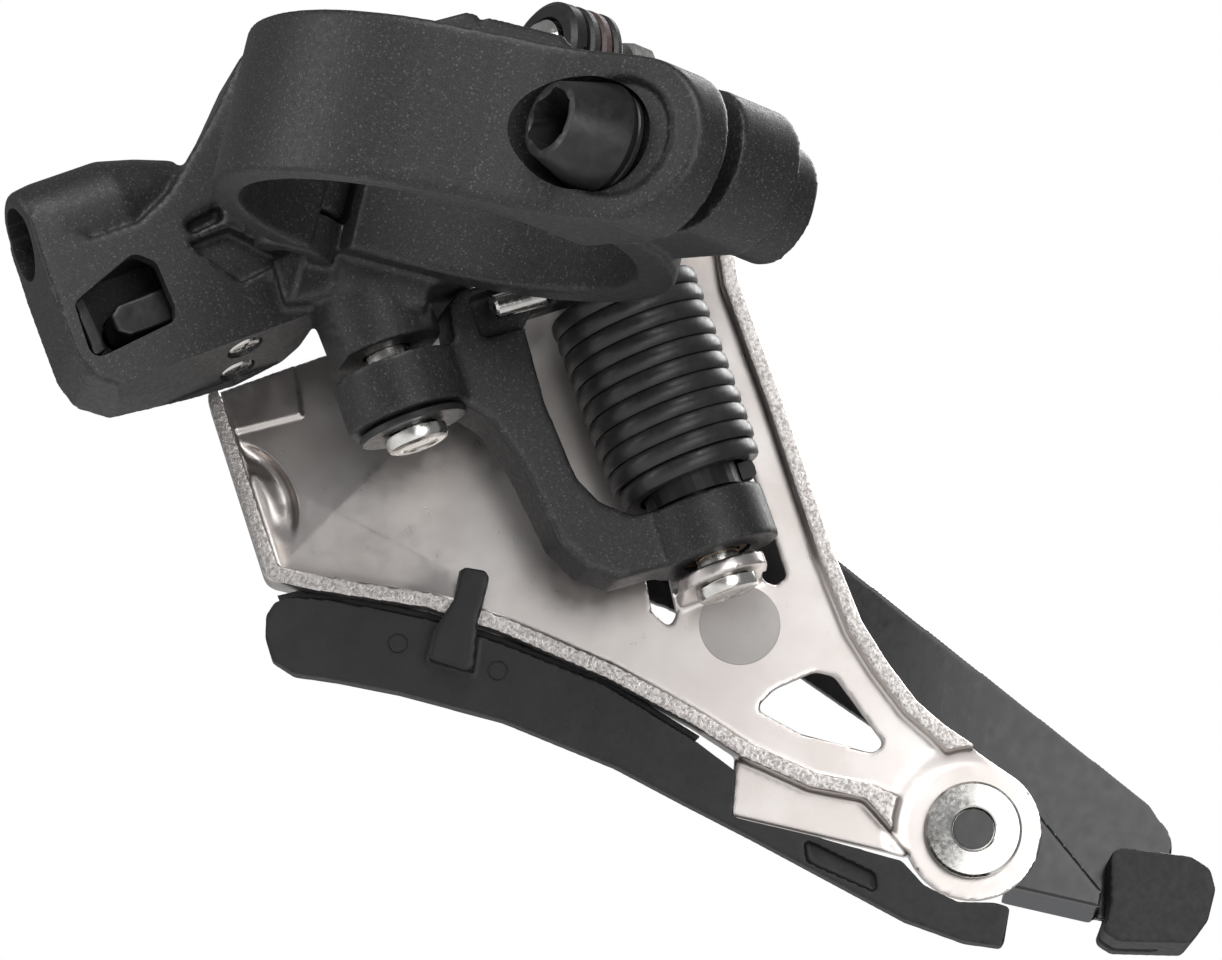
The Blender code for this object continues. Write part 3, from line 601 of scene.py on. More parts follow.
# --- clamp ---
def clamp_band():
    """Hinged half of the clamp with the near ear."""
    start, stop = 131, 262  # the band's round back, in degrees
    thinned = 0.04  # near the hinge, of the radius
    back = [tuple(Vector(point) * (1 - thinned * step(k, 0, 12)))
            for k, point in enumerate(arc((0, 0), BAND_R, start, stop, 54))]
    face = [(3, -20.6), (7, -20.8), (10, -21.5), (15, -24), (20.9, -27.5)]
    ear_inner = [tuple((EAR * s - BOLT * 3.5).to_2d()) for s in (EAR_TIP, 17.2)]
    bore = arc((0, 0), TUBE_R, 297, start, 60)
    body = slab(back + face + ear_inner + bore, -BAND_HALF, BAND_HALF, PLAN)
    carve(body, kept=[slab(stadium(-30, EAR_TIP, BAND_HALF), -30, 30, EARS)])
    knuckle = rod(KNUCKLE_R, -KNUCKLE_HALF, KNUCKLE_HALF, PLAN, HINGE_AT)
    reliefs = [rod(KNUCKLE_R + 0.7, low, high, PLAN, HINGE_AT)
               for low, high in ((-9, -KNUCKLE_HALF), (KNUCKLE_HALF, 9))]
    hinge_bore = rod(HINGE_PIN_R + GAP, -9, 9, PLAN, HINGE_AT)
    carve(body, joined=[knuckle], removed=[*reliefs, hinge_bore])
    melt(body, CAST_VOXEL, 9)
    on_face = EARS @ Matrix.Translation((26.2, 0, -3.5)) @ Matrix.Rotation(radians(-23.5), 4, "Y")
    crescents = [rod(5.4, -12, 0.4, on_face, (1.4, 0)), rod(5.1, -12, 1, on_face, (1, 0))]
    carve(body, removed=crescents)
    melt(body, CAST_VOXEL, 2)
    carve(body, removed=[rod(5, -30, HEAD_SEAT, EARS, AT_BOLT),
                         rod(BOLT_HOLE_R, -30, 30, EARS, AT_BOLT)])
    show(body, "band_casting", "clamp_band", "black_cast", "clamp_band", angle=35)


def clamp_bolt():
    """Bolt with a conical head and a hexagon socket, and the washer under its head."""
    head = (-7.9, -1.9)
    profile = [(0, head[0]), (3, head[0]), (3.35, head[0] + 0.15), (4.75, -3.2), (4.85, -2.6),
               (4.6, -2), (M5_R, head[1]), (M5_R, 16.6), (M5_R - 0.4, 17), (0, 17)]
    body = turned(profile, EARS, AT_BOLT)
    socket = slab(hexagon(5, 30), -9, -4.2, EARS @ Matrix.Translation((BOLT_S, 0, 0)))
    lead_in = rod(3, -8.2, -7.6, EARS, AT_BOLT, top=2.4)
    carve(body, removed=[socket, lead_in])
    show(body, "clamp_bolt_turned", "clamp_bolt", "dark_steel", "clamp_bolt", angle=30)
    washer = hollow(4.5, M5_HOLE_R, -1.8, -1.2, EARS, AT_BOLT)
    show(washer, "clamp_bolt_washer_turned", "clamp_bolt", "dark_steel", "clamp_bolt_washer", angle=30)


def clamp_hardware():
    """Threaded insert of the far ear and the hinge's pin."""
    nut = hollow(4, M5_HOLE_R, 9, 17.9, EARS, AT_BOLT, GAP)
    show(nut, "clamp_nut_turned", "base", "bright_steel", "clamp_nut", angle=30)
    pin = turned(shank(HINGE_PIN_R, -6.6, 6.9), PLAN, HINGE_AT)
    show(pin, "clamp_hinge_pin_turned", "base", "bright_steel", "clamp_hinge_pin", angle=30)


# --- base ---
HOUSING_HALF = 4.7
ADJUSTER = (5.6, -10.1)
LIMIT_SCREWS = ((14, -2.3), (14, 2.3))
LIMIT_SCREW_R = 1.6


def housing():
    """Solids of the cable casing's housing: its shell, its barrel and a web to the clamp."""
    side = [(-0.3, 1.2), (-0.9, -4), (-1.2, -8.5), (-1.4, -12), (-0.9, -14.6), (1.7, -16.8),
            (9.3, -17.7), (13.9, -18), (18.9, -17.4), (21.1, -16.6), (22.7, -15.2),
            (24.5, -12), (29, -8), (29, 11), (24.1, 8.4), (19.9, 4.5), (14.9, 0.6),
            (12.8, -1.1), (9, -2.8), (4.4, -2.8), (2.6, -1.6), (0.9, 1.2)]
    shell = slab(side, -HOUSING_HALF, HOUSING_HALF, HOUSING)
    barrel = turned([(0, -0.3), (4.2, -0.3), (4.7, 0.2), (4.9, 2), (4.85, 8.5), (3.9, 12),
                     (2.6, 15.5), (0, 15.5)], ALONG_CABLE)
    web = slab([(-17, -4.5), (-12, -5.5), (-9.3, -9.6), (-13.4, -11.2)], -26, -19, UPRIGHT)
    return [shell, barrel, web]


def housing_bores():
    """Tools for the window in the housing, the space behind it and every hole."""
    window = rounded([(0.3, -7.8), (1.6, -7.3), (7.3, -5.3), (8.9, -6.8), (8.8, -11.2),
                      (8.3, -12.5), (-0.3, -13.4)], 1.3)
    inside = [(0.2, -5), (10.6, -5), (10.6, -13.2), (0.2, -13.2)]
    bores = [slab(window, 3, 8, HOUSING), slab(inside, -3, 3.4, HOUSING),
             rod(3.4, -6, 9.5, ALONG_CABLE),
             rod(1.3, 8, 40, ALONG_CABLE, sides=24),
             rod(1.8, -6, -2, HOUSING, ADJUSTER),
             rod(4.3, 8.6, 19, EARS, AT_BOLT),
             rod(BOLT_HOLE_R, 5, 9.5, EARS, AT_BOLT),
             rod(PIN_R + GAP, -10, 0, PIVOTS, LINK_FRONT),
             rod(PIN_R + GAP, 6.5, 13, PIVOTS, OUTER_FRONT)]
    return bores + [rod(LIMIT_SCREW_R + 0.15, -22, -12, LIMITS, at) for at in LIMIT_SCREWS]


def base_casting():
    """The cast base: far half of the clamp, casing housing and the links' front lugs."""
    body = slab(sector(TUBE_R, BAND_R, -34, 119, 60), -5.9, BAND_HALF, PLAN)
    ear = slab(stadium(16.4, 31.9, 6.4), 6.8, 13.3, EARS @ Matrix.Translation((0, 1.2, 0)))
    boss = rod(5.3, 13, 17.3, EARS, (BOLT_S - 0.2, 0.5))
    near_knuckle = KNUCKLE_HALF + GAP
    knuckles = [rod(KNUCKLE_R, low, high, PLAN, HINGE_AT)
                for low, high in ((-BAND_HALF, -near_knuckle), (near_knuckle, BAND_HALF))]
    root_outline = [(-9.2, 18.4), (-1, 19.6), (-1, 26.5), (-8, 30), (-24, 28.5),
                    (-24, 23.4), (-17, 21.6), (-13, 20.4)]
    root = slab(root_outline, -8.8, 5.8, PLAN)
    lug = rod(5.3, -8.7, 3, PIVOTS, LINK_FRONT)
    lug_outline = [(-10, 19), (-1.5, 20), (-0.2, 29), (-1.2, 36), (-6, 34.5),
                   (-10, 28)]
    lug_web = slab(lug_outline, -5.2, 1, PIVOTS)
    upper_lug = rod(4.1, 4.6, 12.9, PIVOTS, OUTER_FRONT)
    carve(body, joined=[ear, boss, root, *housing(), lug, lug_web, upper_lug, *knuckles])
    removed = [rod(TUBE_R, -20, 20, PLAN, sides=160),
               rod(KNUCKLE_R + 0.6, -near_knuckle, near_knuckle, PLAN, HINGE_AT),
               rod(HINGE_PIN_R + GAP, -12, 12, PLAN, HINGE_AT)]
    upper_recess = [(12.9, -4.3), (16.7, -3.8), (16.4, -5.2), (13, -5.5)]
    lower_recess = [(12.3, -6.1), (16.6, -6.1), (20.6, -10.7), (15.5, -11.2)]
    removed += [slab(recess, 3.3, 8, HOUSING) for recess in (upper_recess, lower_recess)]
    carve(body, removed=removed)
    melt(body, CAST_VOXEL, 8)
    underside = [(-16.1, -8), (-16.1, -4.9), (-17.4, 4), (-24, 4), (-24, -8)]
    carve(body, removed=[slab(underside, -6, 21, ALONG_CABLE)])
    carve(body, removed=housing_bores())
    show(body, "base_casting", "base", "black_cast", "base_member", angle=35)


def limit_screws():
    """Cross-slotted screws whose ends follow the housing's slanting underside."""
    inner_end, edge = -12.2, 0.2
    for name, at in zip(("low_limit_screw", "high_limit_screw"), LIMIT_SCREWS):
        end = -16.4 - 0.15 * (at[1] - LIMIT_SCREWS[0][1])
        profile = [(0, end), (1.4, end), (LIMIT_SCREW_R, end + edge), (LIMIT_SCREW_R, -12.5),
                   (1.3, inner_end), (0, inner_end)]
        screw = turned(profile, LIMITS, at, 48)
        slot = [block((at[0] - w, at[1] - h, -18), (at[0] + w, at[1] + h, end + 0.7), LIMITS)
                for w, h in ((1.1, 0.2), (0.2, 1.1))]
        carve(screw, removed=slot)
        show(screw, name + "_turned", name, "bright_steel", name, angle=30)


def cable_adjuster():
    """Slider and guide plate in the housing's window, and the bolt on the far side."""
    slider = slab(rounded([(3.7, -11), (4.7, -11.8), (9.8, -11.8), (9.8, -8.6), (4.7, -8.7),
                           (3.7, -9.5)], 0.5), -1.6, 2.2, HOUSING)
    melt(slider, FINE_VOXEL, 6, HOUSING)
    show(slider, "adjuster_slider_moulded", "adjuster_slider", "dark_steel", "adjuster_slider")
    plate = slab(rounded([(0.6, -12.6), (1.9, -12.4), (2, -6.4), (0.9, -6.6)], 0.3), -2.4, 2.9,
                 HOUSING)
    melt(plate, FINE_VOXEL, 4, HOUSING)
    show(plate, "adjuster_plate_stamped", "base", "dark_steel", "adjuster_plate")
    on_axis = HOUSING @ Matrix.Translation((*ADJUSTER, 0))
    head = -7.0
    bolt = slab(hexagon(5), head, -HOUSING_HALF - GAP, on_axis)
    dome = turned([(0, head), (2.55, head), (3.2, head + 0.5), (3.2, -4), (0, -4)], on_axis)
    carve(bolt, kept=[dome])
    carve(bolt, joined=[rod(1.5, -5.2, -2, on_axis)],
          removed=[slab(hexagon(2), -8, -6, on_axis)])
    show(bolt, "cable_adjust_bolt_turned", "cable_adjust_bolt", "dark_steel",
         "cable_adjust_bolt", angle=30)


def headed(name, at, head, low, high, rides_on):
    """Pivot pin: head between two heights, shank between two more. A lower head is dished."""
    edge = 0.3
    if head[0] > high - 1:
        profile = [(0, low), (PIN_R - edge, low), (PIN_R, low + edge), (PIN_R, head[0]),
                   (PIN_HEAD_R, head[0]), (PIN_HEAD_R, head[1] - 0.35), (2.55, head[1]),
                   (0, head[1])]
    else:
        profile = [(0, head[0] + 0.15), (1.5, head[0] + 0.15), (1.75, head[0]), (2.3, head[0]),
                   (2.75, head[0] + 0.2), (PIN_HEAD_R, head[0] + 0.5), (PIN_HEAD_R, head[1]),
                   (PIN_R, head[1]), (PIN_R, high - edge), (PIN_R - edge, high), (0, high)]
    body = turned(profile, PIVOTS, at)
    show(body, name + "_turned", rides_on, "bright_steel", name, angle=30)


# --- links ---
def inner_link():
    """Cast link: front knuckle, strut and rear foot, with a pocket for the spring's pin."""
    outline = [(0, -10.3), (5.6, -9.8), (6.3, -6.6), (7.6, -5.6), (LINK_RUN, -5.6),
               (LINK_RUN, -8.6), (14.2, -8.9), (12.4, -10.6), (11.8, -17.5), (12.2, -25),
               (13.5, -27.7), (16.1, -29.8), (LINK_RUN, -30), (LINK_RUN, -35.2),
               (12.8, -35), (10.2, -33.2), (8.6, -30.1), (7.7, -22.3), (6.4, -17.8),
               (4.2, -15.4), (0, -15.2)]
    body = slab(outline, -2.6, 2.6, LINK)
    carve(body, joined=[rod(5.7, -15.2, -10.2, PIVOTS, LINK_FRONT),
                        rod(6, -35.2, -30, PIVOTS, LINK_REAR),
                        rod(4.4, -8.6, -5.6, PIVOTS, LINK_REAR)])
    pocket = slab(rounded([(8.2, -10.4), (8.2, -6.3), (16, -6.3), (16, -10.4)], 1), 0.6, 5, LINK)
    carve(body, removed=[pocket])
    melt(body, CAST_VOXEL, 8, LINK)
    carve(body, removed=[rod(BUSH_HOLE_R, -20, 0, PIVOTS, LINK_FRONT),
                         rod(BUSH_HOLE_R, -40, -25, PIVOTS, LINK_REAR),
                         rod(PIN_R + GAP, -12, 0, PIVOTS, LINK_REAR)])
    show(body, "inner_link_casting", "inner_link", "black_cast", "inner_link", angle=35)


def link_hardware():
    """The bright pin in the link's pocket and the washer over its front pivot."""
    along_link = basis(PIVOT, LINK_NEAR, LINK_DIR, LINK.translation)
    pin = turned(shank(1.1, 9.8, 14.8, 0.2), along_link, (-8.1, 3.4), 48)
    show(pin, "spring_hook_pin_turned", "inner_link", "bright_steel", "spring_hook_pin", angle=30)
    washer = hollow(5, PIN_R + GAP, -16.2, -15.5, PIVOTS, LINK_FRONT)
    show(washer, "inner_link_washer_turned", "base", "dark_steel", "inner_link_washer", angle=30)


def return_spring():
    """Torsion spring of flat wire with rounded edges, close wound, narrower at its lower end."""
    turns, per_turn = 11, 72
    low, high = -29.3, -9.2
    outer, inner = 7.1, 5.4
    pitch = (high - low) / (turns + 0.9)
    half = pitch * 0.47
    section = [(inner, -half), (outer - 0.3, -half), (outer - 0.08, -half * 0.7), (outer, 0),
               (outer - 0.08, half * 0.7), (outer - 0.3, half), (inner, half)]
    form = bmesh.new()
    rows = []
    count = turns * per_turn
    for index in range(count + 1):
        angle = 2 * pi * index / per_turn
        height = low + half + 0.02 + (high - low - 2 * half - 0.04) * index / count
        taper = min(1, 0.86 + 0.14 * index / (1.2 * per_turn))
        rows.append([form.verts.new((LINK_REAR[0] + r * taper * cos(angle),
                                     LINK_REAR[1] + r * taper * sin(angle), height + h))
                     for r, h in section])
    for first, second in zip(rows, rows[1:]):
        for k in range(len(section)):
            n = (k + 1) % len(section)
            form.faces.new((first[k], first[n], second[n], second[k]))
    form.faces.new(rows[0][::-1])
    form.faces.new(rows[-1])
    body = piece("spring", form, PIVOTS)
    show(body, "return_spring_wound", "inner_link", "spring_wire", "return_spring", angle=35)


def outer_link():
    """Cast link behind the clamp: carries the cable anchor."""
    outline = [(0, 18.4), (0, 13.2), (6, 13.2), (15.5, 2), (19.4, -3.4), (LINK_RUN, -3.6),
               (LINK_RUN, 2.6), (20.5, 8), (18, 14), (10, 18.4)]
    body = slab(outline, -2.4, 2.4, OUTER_RUN)
    arm = [(4, 24), (9.6, 31), (11.6, 33.4), (16.4, 33.4), (19, 31), (15, 25)]
    carve(body, joined=[rod(4, 13.2, 18.4, PIVOTS, OUTER_FRONT),
                        rod(4, -3.6, 2.6, PIVOTS, OUTER_REAR),
                        slab(arm, 10.2, 12.4, PIVOTS), rod(4.6, -1, 5, ANCHORS)])
    carve(body, removed=[rod(3.6, 2.6, 9, PIVOTS, OUTER_REAR), rod(6, -14, -1, ANCHORS),
                         rod(6.2, 2.8, 14, ANCHORS)])
    melt(body, CAST_VOXEL, 6, OUTER_RUN)
    carve(body, removed=[rod(PIN_R + GAP, 5, 25, PIVOTS, OUTER_FRONT),
                         rod(PIN_R + 0.6, -10, 9, PIVOTS, OUTER_REAR),
                         rod(M5_HOLE_R, -30, 30, ANCHORS)])
    show(body, "outer_link_casting", "outer_link", "black_cast", "outer_link", angle=35)


def anchor():
    """Cable clamp plate, its bolt and nut, and the rings between them."""
    plate = turned([(M5_HOLE_R, -1.3), (M5_HOLE_R, -1.9), (3.5, -2), (3.6, -2.9), (4.7, -2.9), (5.2, -2.5),
                    (5.3, -1.5), (5.1, -1.3)], ANCHORS)
    carve(plate, removed=[block((-8, -0.7, -1.7), (8, 0.7, 0), ANCHORS)])
    show(plate, "cable_clamp_plate_turned", "outer_link", "dark_steel", "cable_clamp_plate", angle=30)
    bolt = turned([(0, -3.6), (2.8, -3.6), (3.2, -3.2), (3.2, -2.2), (M5_R, -2.1), (M5_R, 8.2),
                   (2.1, 8.6), (0, 8.6)], ANCHORS)
    carve(bolt, removed=[slab(hexagon(3.6), -8, -2.4, ANCHORS)])
    show(bolt, "cable_fixing_bolt_turned", "cable_fixing_bolt", "bright_steel",
         "cable_fixing_bolt", angle=30)
    rings = (("anchor_collar", 5.4, -0.9, 0.3, "black_cast", CAST),
             ("anchor_liner", 5.5, 0.4, 1.6, "bush_bronze", LINER),
             ("anchor_ring", 5.6, 1.7, 2.7, "black_cast", CAST))
    for name, outer, low, high, slot, look in rings:
        ring = hollow(outer, M5_HOLE_R, low, high, ANCHORS, chamfer=0.3)
        show(ring, name, "outer_link", slot, angle=30, material=look)
    low, high = 5.3, 8.2
    nut = slab(hexagon(7.6), low, high, ANCHORS)
    barrel = turned([(0, low), (3.9, low), (4.39, 5.7), (4.39, 7.8), (3.9, high), (0, high)], ANCHORS)
    carve(nut, kept=[barrel], removed=[rod(M5_HOLE_R, 4, 10, ANCHORS)])
    show(nut, "anchor_nut_turned", "outer_link", "bright_steel", "anchor_nut", angle=30)


# --- cage ---
INNER_OUTLINE = ([(-20.1, -17.5), (-10.6, -33.4), (-6.8, -33.5), (4.4, -32.7), (11.4, -33.4),
                  (21.9, -35.4), (30.4, -37.8), (35.2, -39.6), (42, -41), (47, -40.8),
                  (50.9, -43.6)]
                 + arc(BOSS, BOSS_R, -150, 62, 40)
                 + [(52.6, -32.6), (49.7, -31), (46.2, -28), (43.3, -25), (39.3, -19.1),
                    (31.8, -6.6), (25.4, 3.5), (23, 9.5), (19.5, 9.5), (8, 1.5), (-2, -6.5),
                    (-10.7, -11.5)])
# The rim leaves out the boss.
RIM_LINE = INNER_OUTLINE[:10] + [(52.5, -42), (58.5, -36.5)] + INNER_OUTLINE[-12:]
TAIL_OPENING = [(35.5, -34.7), (40, -36), (47, -36.3), (47.7, -35.2), (41.9, -30.1),
                (40.1, -30.1), (36.9, -32.5)]
SPRING_OPENING = [(8.6, -8.4), (7.2, -15.5), (7.2, -24), (9, -28), (9, -32),
                  (18.4, -32), (18.9, -12), (18.6, -8.4)]
SLOTS_BY_PIVOT = ([(6.1, -33.2), (5.5, -36.8), (6.5, -38.7), (7.5, -37.8), (8.1, -33.2)],
                  [(17, -31), (16, -37.4), (16.9, -38.3), (18.2, -37.9), (18.5, -31)])
SLOT_CORNERS = (0.6, 0.7)


def plate_relief(point):
    """Depth of the inner plate's pressed relief: two facets, groove and pad at the nose, boss."""
    flat = Vector((point.x, point.z))
    corner = flat - Vector((-6, -25.5))  # from where the two facets meet
    crease = corner.dot(Vector((-0.85, 0.527)))
    fold = corner.dot(Vector((-0.25, -0.968)))
    depth = 0.2 * max(0, crease) + 0.38 * max(0, fold) * (1 - step(flat.x, 2, 6.5))
    hub = flat - Vector((-16.5, -28.5))  # from the curved groove's centre
    turn = atan2(hub.y, hub.x)
    groove = step(hub.length, 4.8, 6.9) * (1 - step(hub.length, 7.1, 7.7))
    depth += 1.5 * groove * step(turn, -0.1, 0.5) * (1 - step(turn, 1.1, 1.6))
    across = (flat - Vector((-16.7, -20.3))).dot(Vector((-0.447, 0.894)))
    beyond = (flat - Vector((-10.9, -17.4))).dot(Vector((0.92, 0.39)))
    depth -= 0.55 * step(across, -0.1, 0.2) * (1 - step(beyond, -0.2, 0.1))
    return depth + 1.0 * (1 - step((flat - Vector(BOSS)).length, 6, 8.4))


def inner_plate():
    """Pressed inner plate with its upstanding rim and the two tabs that hold the rear pivots."""
    rim_face = INNER_NEAR + RIM
    through = (INNER_FAR - 2, rim_face + 2)
    body = slab(rounded(INNER_OUTLINE, 1.6), INNER_FAR, rim_face, UPRIGHT)
    line = inset(RIM_LINE, 1.5)
    line[0], line[-2:] = (-19.7, -15.6), [(-2.9, -4.8), (-11.7, -9.8)]  # no rim on the nose's top
    dish = slab(rounded(line, 1.2), INNER_NEAR, rim_face + 1, UPRIGHT)
    boss_clear = rod(BOSS_R + 1.1, INNER_NEAR, rim_face + 1, UPRIGHT, BOSS)
    carve(body, removed=[dish, boss_clear])
    openings = [slab(rounded(TAIL_OPENING, 1.2), *through, UPRIGHT),
                slab(rounded(SPRING_OPENING, 1), *through, TURNED)]
    openings += [slab(rounded(slot, corner), *through, TURNED)
                 for slot, corner in zip(SLOTS_BY_PIVOT, SLOT_CORNERS)]
    root, half = INNER_Y - 0.1, 4.1
    tab = arc(LINK_REAR, half, 180, 360, 32) + [(LINK_REAR[0] + half, root), (LINK_REAR[0] - half, root)]
    shelf = [(8, root), (8, 28.5), (12, 26), (16, 24.6), (23.4, 24.6), (23.4, root)]
    strip = [(34.6, -38.6), (35.4, -44.8), (51.8, -44.9), (50, -40.5)]
    carve(body, removed=openings,
          joined=[slab(tab, -37.4, -36.1, PIVOTS),
                  slab(strip, INNER_FAR + 0.1, INNER_FAR + 0.9, UPRIGHT)])
    carve(body, joined=[slab(shelf, -5.2, -4, PIVOTS)])
    melt(body, SHEET_VOXEL, 5)
    face = INNER_Y - SHEET / 2

    def press(point):
        """Push the sheet in by its relief, and leave the tabs and the far side's edge alone."""
        sheet = step(point.y, face - 1, face - 0.2)
        if sheet == 0 or point.y > INNER_Y + SHEET:
            return point
        return point + SIDE * plate_relief(point) * 0.55 * sheet

    shape(body, press)
    bores = [rod(PIN_R + GAP, -40, 0, PIVOTS, at) for at in (LINK_REAR, OUTER_REAR)]
    bores.append(rod(TAIL_RIVET_R + GAP, *through, UPRIGHT, BOSS))
    bores += [rod(NOSE_RIVET_R + GAP, *through, UPRIGHT, at) for at in NOSE_RIVETS]
    carve(body, removed=bores)
    show(body, "inner_plate_pressed", "cage", "satin_sheet", "inner_cage_plate", angle=40)
    body.data.materials.append(SHEARED)
    rim_foot, rim_top = (face - RIM + 0.35) * MM, (INNER_Y - 5) * MM
    for polygon in body.data.polygons:
        if rim_top < polygon.center.y < rim_foot and polygon.normal.y < -0.7:
            polygon.material_index = 1


OUTER_OUTLINE = ([(-16.5, -19), (-12, -26.6), (0, -25), (12, -24), (25.2, -25.3),
                  (37.8, -28.5), (47.7, -32.5), (60.8, -38.4), (66, -44.9), (72, -44.9)]
                 + arc((72.4, -37.6), 3.6, -35, 60, 10)
                 + [(73, -33.3), (40.7, -17.7), (31.1, -13.1), (10, -7.6), (-8, -11.6)])


def outer_plate():
    """Pressed outer plate; its tail turns inwards and meets the inner plate's boss."""
    low, high = -OUTER_Y - SHEET / 2, -OUTER_Y + SHEET / 2
    inner_face = INNER_FAR - GAP
    body = slab(rounded(OUTER_OUTLINE, 2), low, high, UPRIGHT)
    floor = [(61.6, -45.3), (70, -45.3), (70, -44.1), (61.6, -44.1)]
    ear = arc(BOSS, 5.2, 80, 250, 40) + [(62.2, -45.3), (69.6, -45.3), (70, -43.8), (63, -38.2)]
    carve(body, joined=[slab(floor, high - SHEET, inner_face, UPRIGHT),
                        slab(ear, inner_face - SHEET, inner_face, UPRIGHT)])
    melt(body, SHEET_VOXEL, 4)
    bores = [rod(TAIL_RIVET_R + GAP, -60, -30, UPRIGHT, BOSS)]
    bores += [rod(NOSE_RIVET_R + GAP, -60, -45, UPRIGHT, at) for at in NOSE_RIVETS]
    carve(body, removed=bores)
    show(body, "outer_plate_pressed", "cage", "black_sheet", "outer_cage_plate", angle=40)


def front_bridge():
    """Channel that ties the two plates together above the chain."""
    inner_face = INNER_FAR - GAP
    outer_face = -OUTER_Y + SHEET / 2 + GAP
    top = [(-9.2, -11.2), (-8.6, -12.2), (3.4, -4.6), (2.8, -3.6)]
    flange = rounded([(-9.2, -11.2), (-8.4, -15.6), (-4.2, -16.8), (5, -10.6), (2.8, -3.6)], 1.2)
    body = slab(top, outer_face, inner_face, UPRIGHT)
    carve(body, joined=[slab(flange, inner_face - SHEET, inner_face, UPRIGHT),
                        slab(flange, outer_face, outer_face + SHEET, UPRIGHT)])
    melt(body, SHEET_VOXEL, 4)
    carve(body, removed=[rod(NOSE_RIVET_R + GAP, -60, -30, UPRIGHT, at) for at in NOSE_RIVETS])
    show(body, "front_bridge_pressed", "cage", "black_sheet", "front_bridge", angle=40)


def tail_rivet():
    """Flat-headed rivet with a dark recessed centre."""
    near, far = -37.1, -40.4
    profile = [(0, far - 0.8), (3.4, far - 0.8), (3.7, far - 0.5), (4.2, far), (TAIL_RIVET_R, far),
               (TAIL_RIVET_R, near), (4.4, near), (4.4, near + 0.35), (4.15, near + 0.62),
               (2.15, near + 0.8), (2, near + 0.7), (1.9, near + 0.2), (0, near + 0.2)]
    body = turned(profile, UPRIGHT, BOSS, 96)
    show(body, "tail_rivet_turned", "cage", "bright_steel", "tail_rivet", angle=30)
    plug = turned([(0, near + 0.25), (1.85, near + 0.25), (1.85, near + 0.6), (1.8, near + 0.65),
                   (0, near + 0.65)], UPRIGHT, BOSS, 64)
    show(plug, "tail_rivet_core", "cage", "black_sheet", angle=30)


def nose_rivets():
    """Two long rivets through both plates and the bridge."""
    low, high = -50.9, -37.1
    profile = [(0, low - 0.8), (1.9, low - 0.8), (2.3, low - 0.5), (2.6, low), (NOSE_RIVET_R, low),
               (NOSE_RIVET_R, high), (2.6, high), (2.3, high + 0.5), (1.9, high + 0.8),
               (0, high + 0.8)]
    for name, at in zip(("front_rivet_inner", "front_rivet_outer"), NOSE_RIVETS):
        body = turned(profile, UPRIGHT, at, 48)
        show(body, name + "_turned", "cage", "bright_steel", name, angle=30)


def skid_strip():
    """Plastic strip clipped under the inner plate; its thin back reaches up behind the rim."""
    lower = [(-9.7, -36.6), (-9.3, -38.6), (-8.2, -40.5), (-6, -41.3), (-2.4, -41),
             (3.8, -40.8), (13.6, -41.2), (24.3, -43), (31.3, -44.9), (37.9, -46.6),
             (53, -50.8), (58.7, -51.5), (62.2, -51.2)]
    upper = [(62, -47.5), (60.6, -47.4), (57.3, -48.1), (54, -47.3), (51.6, -45.6),
             (44, -45.2), (35.8, -45.1), (35.2, -41), (31.2, -39.2), (21.7, -35.9),
             (11.5, -34.3), (4.6, -33.6), (-4.1, -33.9), (-7.6, -34.4), (-9.2, -35.2)]
    body = slab(rounded(lower + upper, 0.5), *SKID_SPAN, UPRIGHT)
    raised = [(x, z + 0.8) for x, z in upper[8:]] + [(-8, -36), (30, -40)]
    near_face = INNER_NEAR + RIM + GAP
    clip_top = near_face + 1.4
    clip = [(6.6, -29), (7.1, -28.5), (8.9, -28.4), (9.4, -28.9), (9.4, -31.9), (9.3, -33),
            (9.9, -37.2), (9.3, -37.8), (6.1, -37.5), (5.6, -37), (5.8, -34.2), (6.7, -31.7)]
    root = [(5.8, -34.4), (5.7, -37.4), (9.8, -37.6), (9.5, -34.4)]
    recess = rounded([(42.4, -45.6), (49.5, -47.3), (50, -49), (43.2, -47.6)], 0.8)
    carve(body, joined=[slab(raised, SKID_SPAN[0], SKID_SPAN[0] + 1.4, UPRIGHT),
                        slab(clip, near_face, clip_top, UPRIGHT),
                        slab(root, SKID_SPAN[0] + 1, clip_top, UPRIGHT)],
          removed=[slab(recess, SKID_SPAN[1] - 0.8, -30, UPRIGHT)])
    melt(body, SHEET_VOXEL, 4)
    marks = [hollow(0.95, 0.75, SKID_SPAN[1] - 0.15, SKID_SPAN[1] + 1, UPRIGHT, at, 0.02)
             for at in ((2.6, -36.5), (12, -36.9))]
    carve(body, removed=marks)
    show(body, "skid_strip_moulded", "cage", "dark_plastic", "skid_plate", angle=40)


def tail_bumper():
    """Plastic cap over the outer plate's tail."""
    outline = [(70.2, -39.4), (71.2, -38.7), (77.5, -38.1), (79.4, -38.8), (80.3, -40.6),
               (80.2, -43.6), (79, -46), (72.6, -47.3), (70.9, -46.7), (71.2, -44.6)]
    body = slab(rounded(outline, 0.8), -53.5, -43.6, UPRIGHT)
    slot = [(60, -50), (76.6, -50), (76.6, -30), (60, -30)]
    carve(body, removed=[slab(slot, -OUTER_Y - SHEET / 2 - GAP, -OUTER_Y + SHEET / 2 + GAP, UPRIGHT)])
    melt(body, SHEET_VOXEL, 7)
    show(body, "tail_bumper_moulded", "cage", "dark_plastic", "tail_bumper", angle=40)


def label():
    """Blank round film on the inner plate."""
    low, high = INNER_NEAR + 0.02, INNER_NEAR + 0.08
    radius = 3.65
    edge = (radius + 0.05, INNER_NEAR + 0.05)
    body = turned([(0, low), (radius, low), edge, (radius, high), (0, high)], UPRIGHT,
                  (32.5, -27.5), 96)
    show(body, "blank_label", "cage", "satin_sheet", material=FILM)


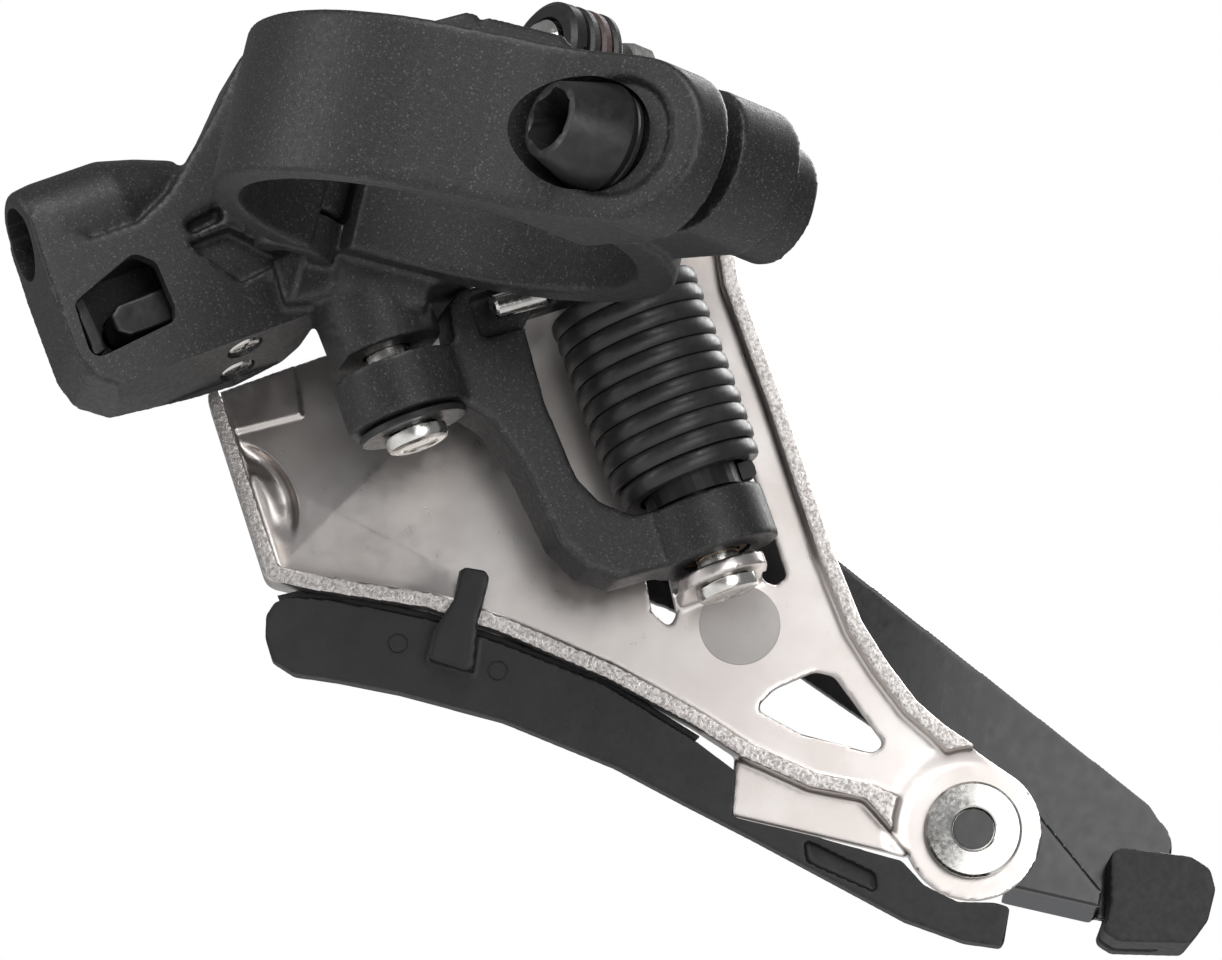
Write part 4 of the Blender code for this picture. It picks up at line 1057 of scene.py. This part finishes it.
# --- build ---
clamp_band()
clamp_bolt()
clamp_hardware()
base_casting()
limit_screws()
cable_adjuster()
headed("inner_link_pin", LINK_FRONT, (-17.8, -16.5), -17.0, -1.0, "base")
headed("cage_pivot_pin", LINK_REAR, (-38.9, -37.7), -38.0, -3.8, "cage")
headed("outer_link_front_pin", OUTER_FRONT, (18.7, 19.9), 7.0, 19.0, "base")
headed("outer_link_rear_pin", OUTER_REAR, (2.9, 4.1), -5.8, 3.2, "cage")
inner_link()
link_hardware()
return_spring()
outer_link()
anchor()
inner_plate()
outer_plate()
front_bridge()
tail_rivet()
nose_rivets()
skid_strip()
tail_bumper()
label()


# --- stage ---
FLOOR_Z = -250
FLOOR_HALF = 3000


def floor():
    """Pale floor far below."""
    form = bmesh.new()
    bmesh.ops.create_grid(form, x_segments=1, y_segments=1, size=FLOOR_HALF)
    body = piece("floor", form, Matrix.Translation((0, 0, FLOOR_Z)))
    made = Shader("floor_paint", (0.85, 0.85, 0.85), 0.7, 0.0)
    made.vary_colour((0.84, 0.84, 0.84), (0.88, 0.88, 0.88), made.noise(60, 2))
    body.data.materials.append(made.material)


def area_light(name, at, aim, size, power):
    """A soft box of a width and height in mm that looks at a point."""
    lamp = bpy.data.lights.new(name, "AREA")
    lamp.shape = "RECTANGLE"
    lamp.size, lamp.size_y = size[0] * MM, size[1] * MM
    lamp.energy = power
    body = bpy.data.objects.new(name, lamp)
    body.location = Vector(at) * MM
    body.rotation_euler = (Vector(aim) - Vector(at)).to_track_quat("-Z", "Y").to_euler()
    bpy.context.scene.collection.objects.link(body)


def world():
    """White studio behind, dimmer grey light all round."""
    made = bpy.data.worlds.new("studio")
    made.use_nodes = True
    nodes, links = made.node_tree.nodes, made.node_tree.links
    seen = nodes.new("ShaderNodeLightPath").outputs["Is Camera Ray"]
    background = nodes["Background"]
    backdrop = nodes.new("ShaderNodeBackground")
    background.inputs["Color"].default_value = (0.95, 0.96, 1.0, 1)
    background.inputs["Strength"].default_value = 0.22
    backdrop.inputs["Color"].default_value = (1, 1, 1, 1)
    backdrop.inputs["Strength"].default_value = 1.0
    blend = nodes.new("ShaderNodeMixShader")
    links.new(seen, blend.inputs["Fac"])
    links.new(background.outputs[0], blend.inputs[1])
    links.new(backdrop.outputs[0], blend.inputs[2])
    links.new(blend.outputs[0], nodes["World Output"].inputs["Surface"])
    bpy.context.scene.world = made


def camera():
    """Low three-quarter view from the seat tube's left side, rolled as it lies."""
    eye = Vector((40.78, -583.2, -134.97))
    aim = Vector((18.31, 30.0, -18.42))
    roll = radians(13.138)
    lens = bpy.data.cameras.new("camera")
    lens.lens = 203.27
    lens.clip_start, lens.clip_end = 0.01, 20
    back = (eye - aim).normalized()
    right = UP.cross(back).normalized()
    above = back.cross(right)
    right, above = right * cos(roll) + above * sin(roll), above * cos(roll) - right * sin(roll)
    body = bpy.data.objects.new("camera", lens)
    body.matrix_world = basis(right, above, back, eye * MM)
    bpy.context.scene.collection.objects.link(body)
    bpy.context.scene.camera = body


floor()
area_light("key", (-150, -500, 500), (20, 20, 0), (500, 400), 3.2)
area_light("front", (300, -700, 60), (20, 20, -20), (500, 500), 2.15)
area_light("left", (-600, -150, 60), (0, 20, -10), (300, 500), 1.1)
area_light("rim", (250, 450, 350), (20, 20, 0), (400, 300), 2.4)
world()
camera()
bpy.context.scene.view_settings.view_transform = "Standard"
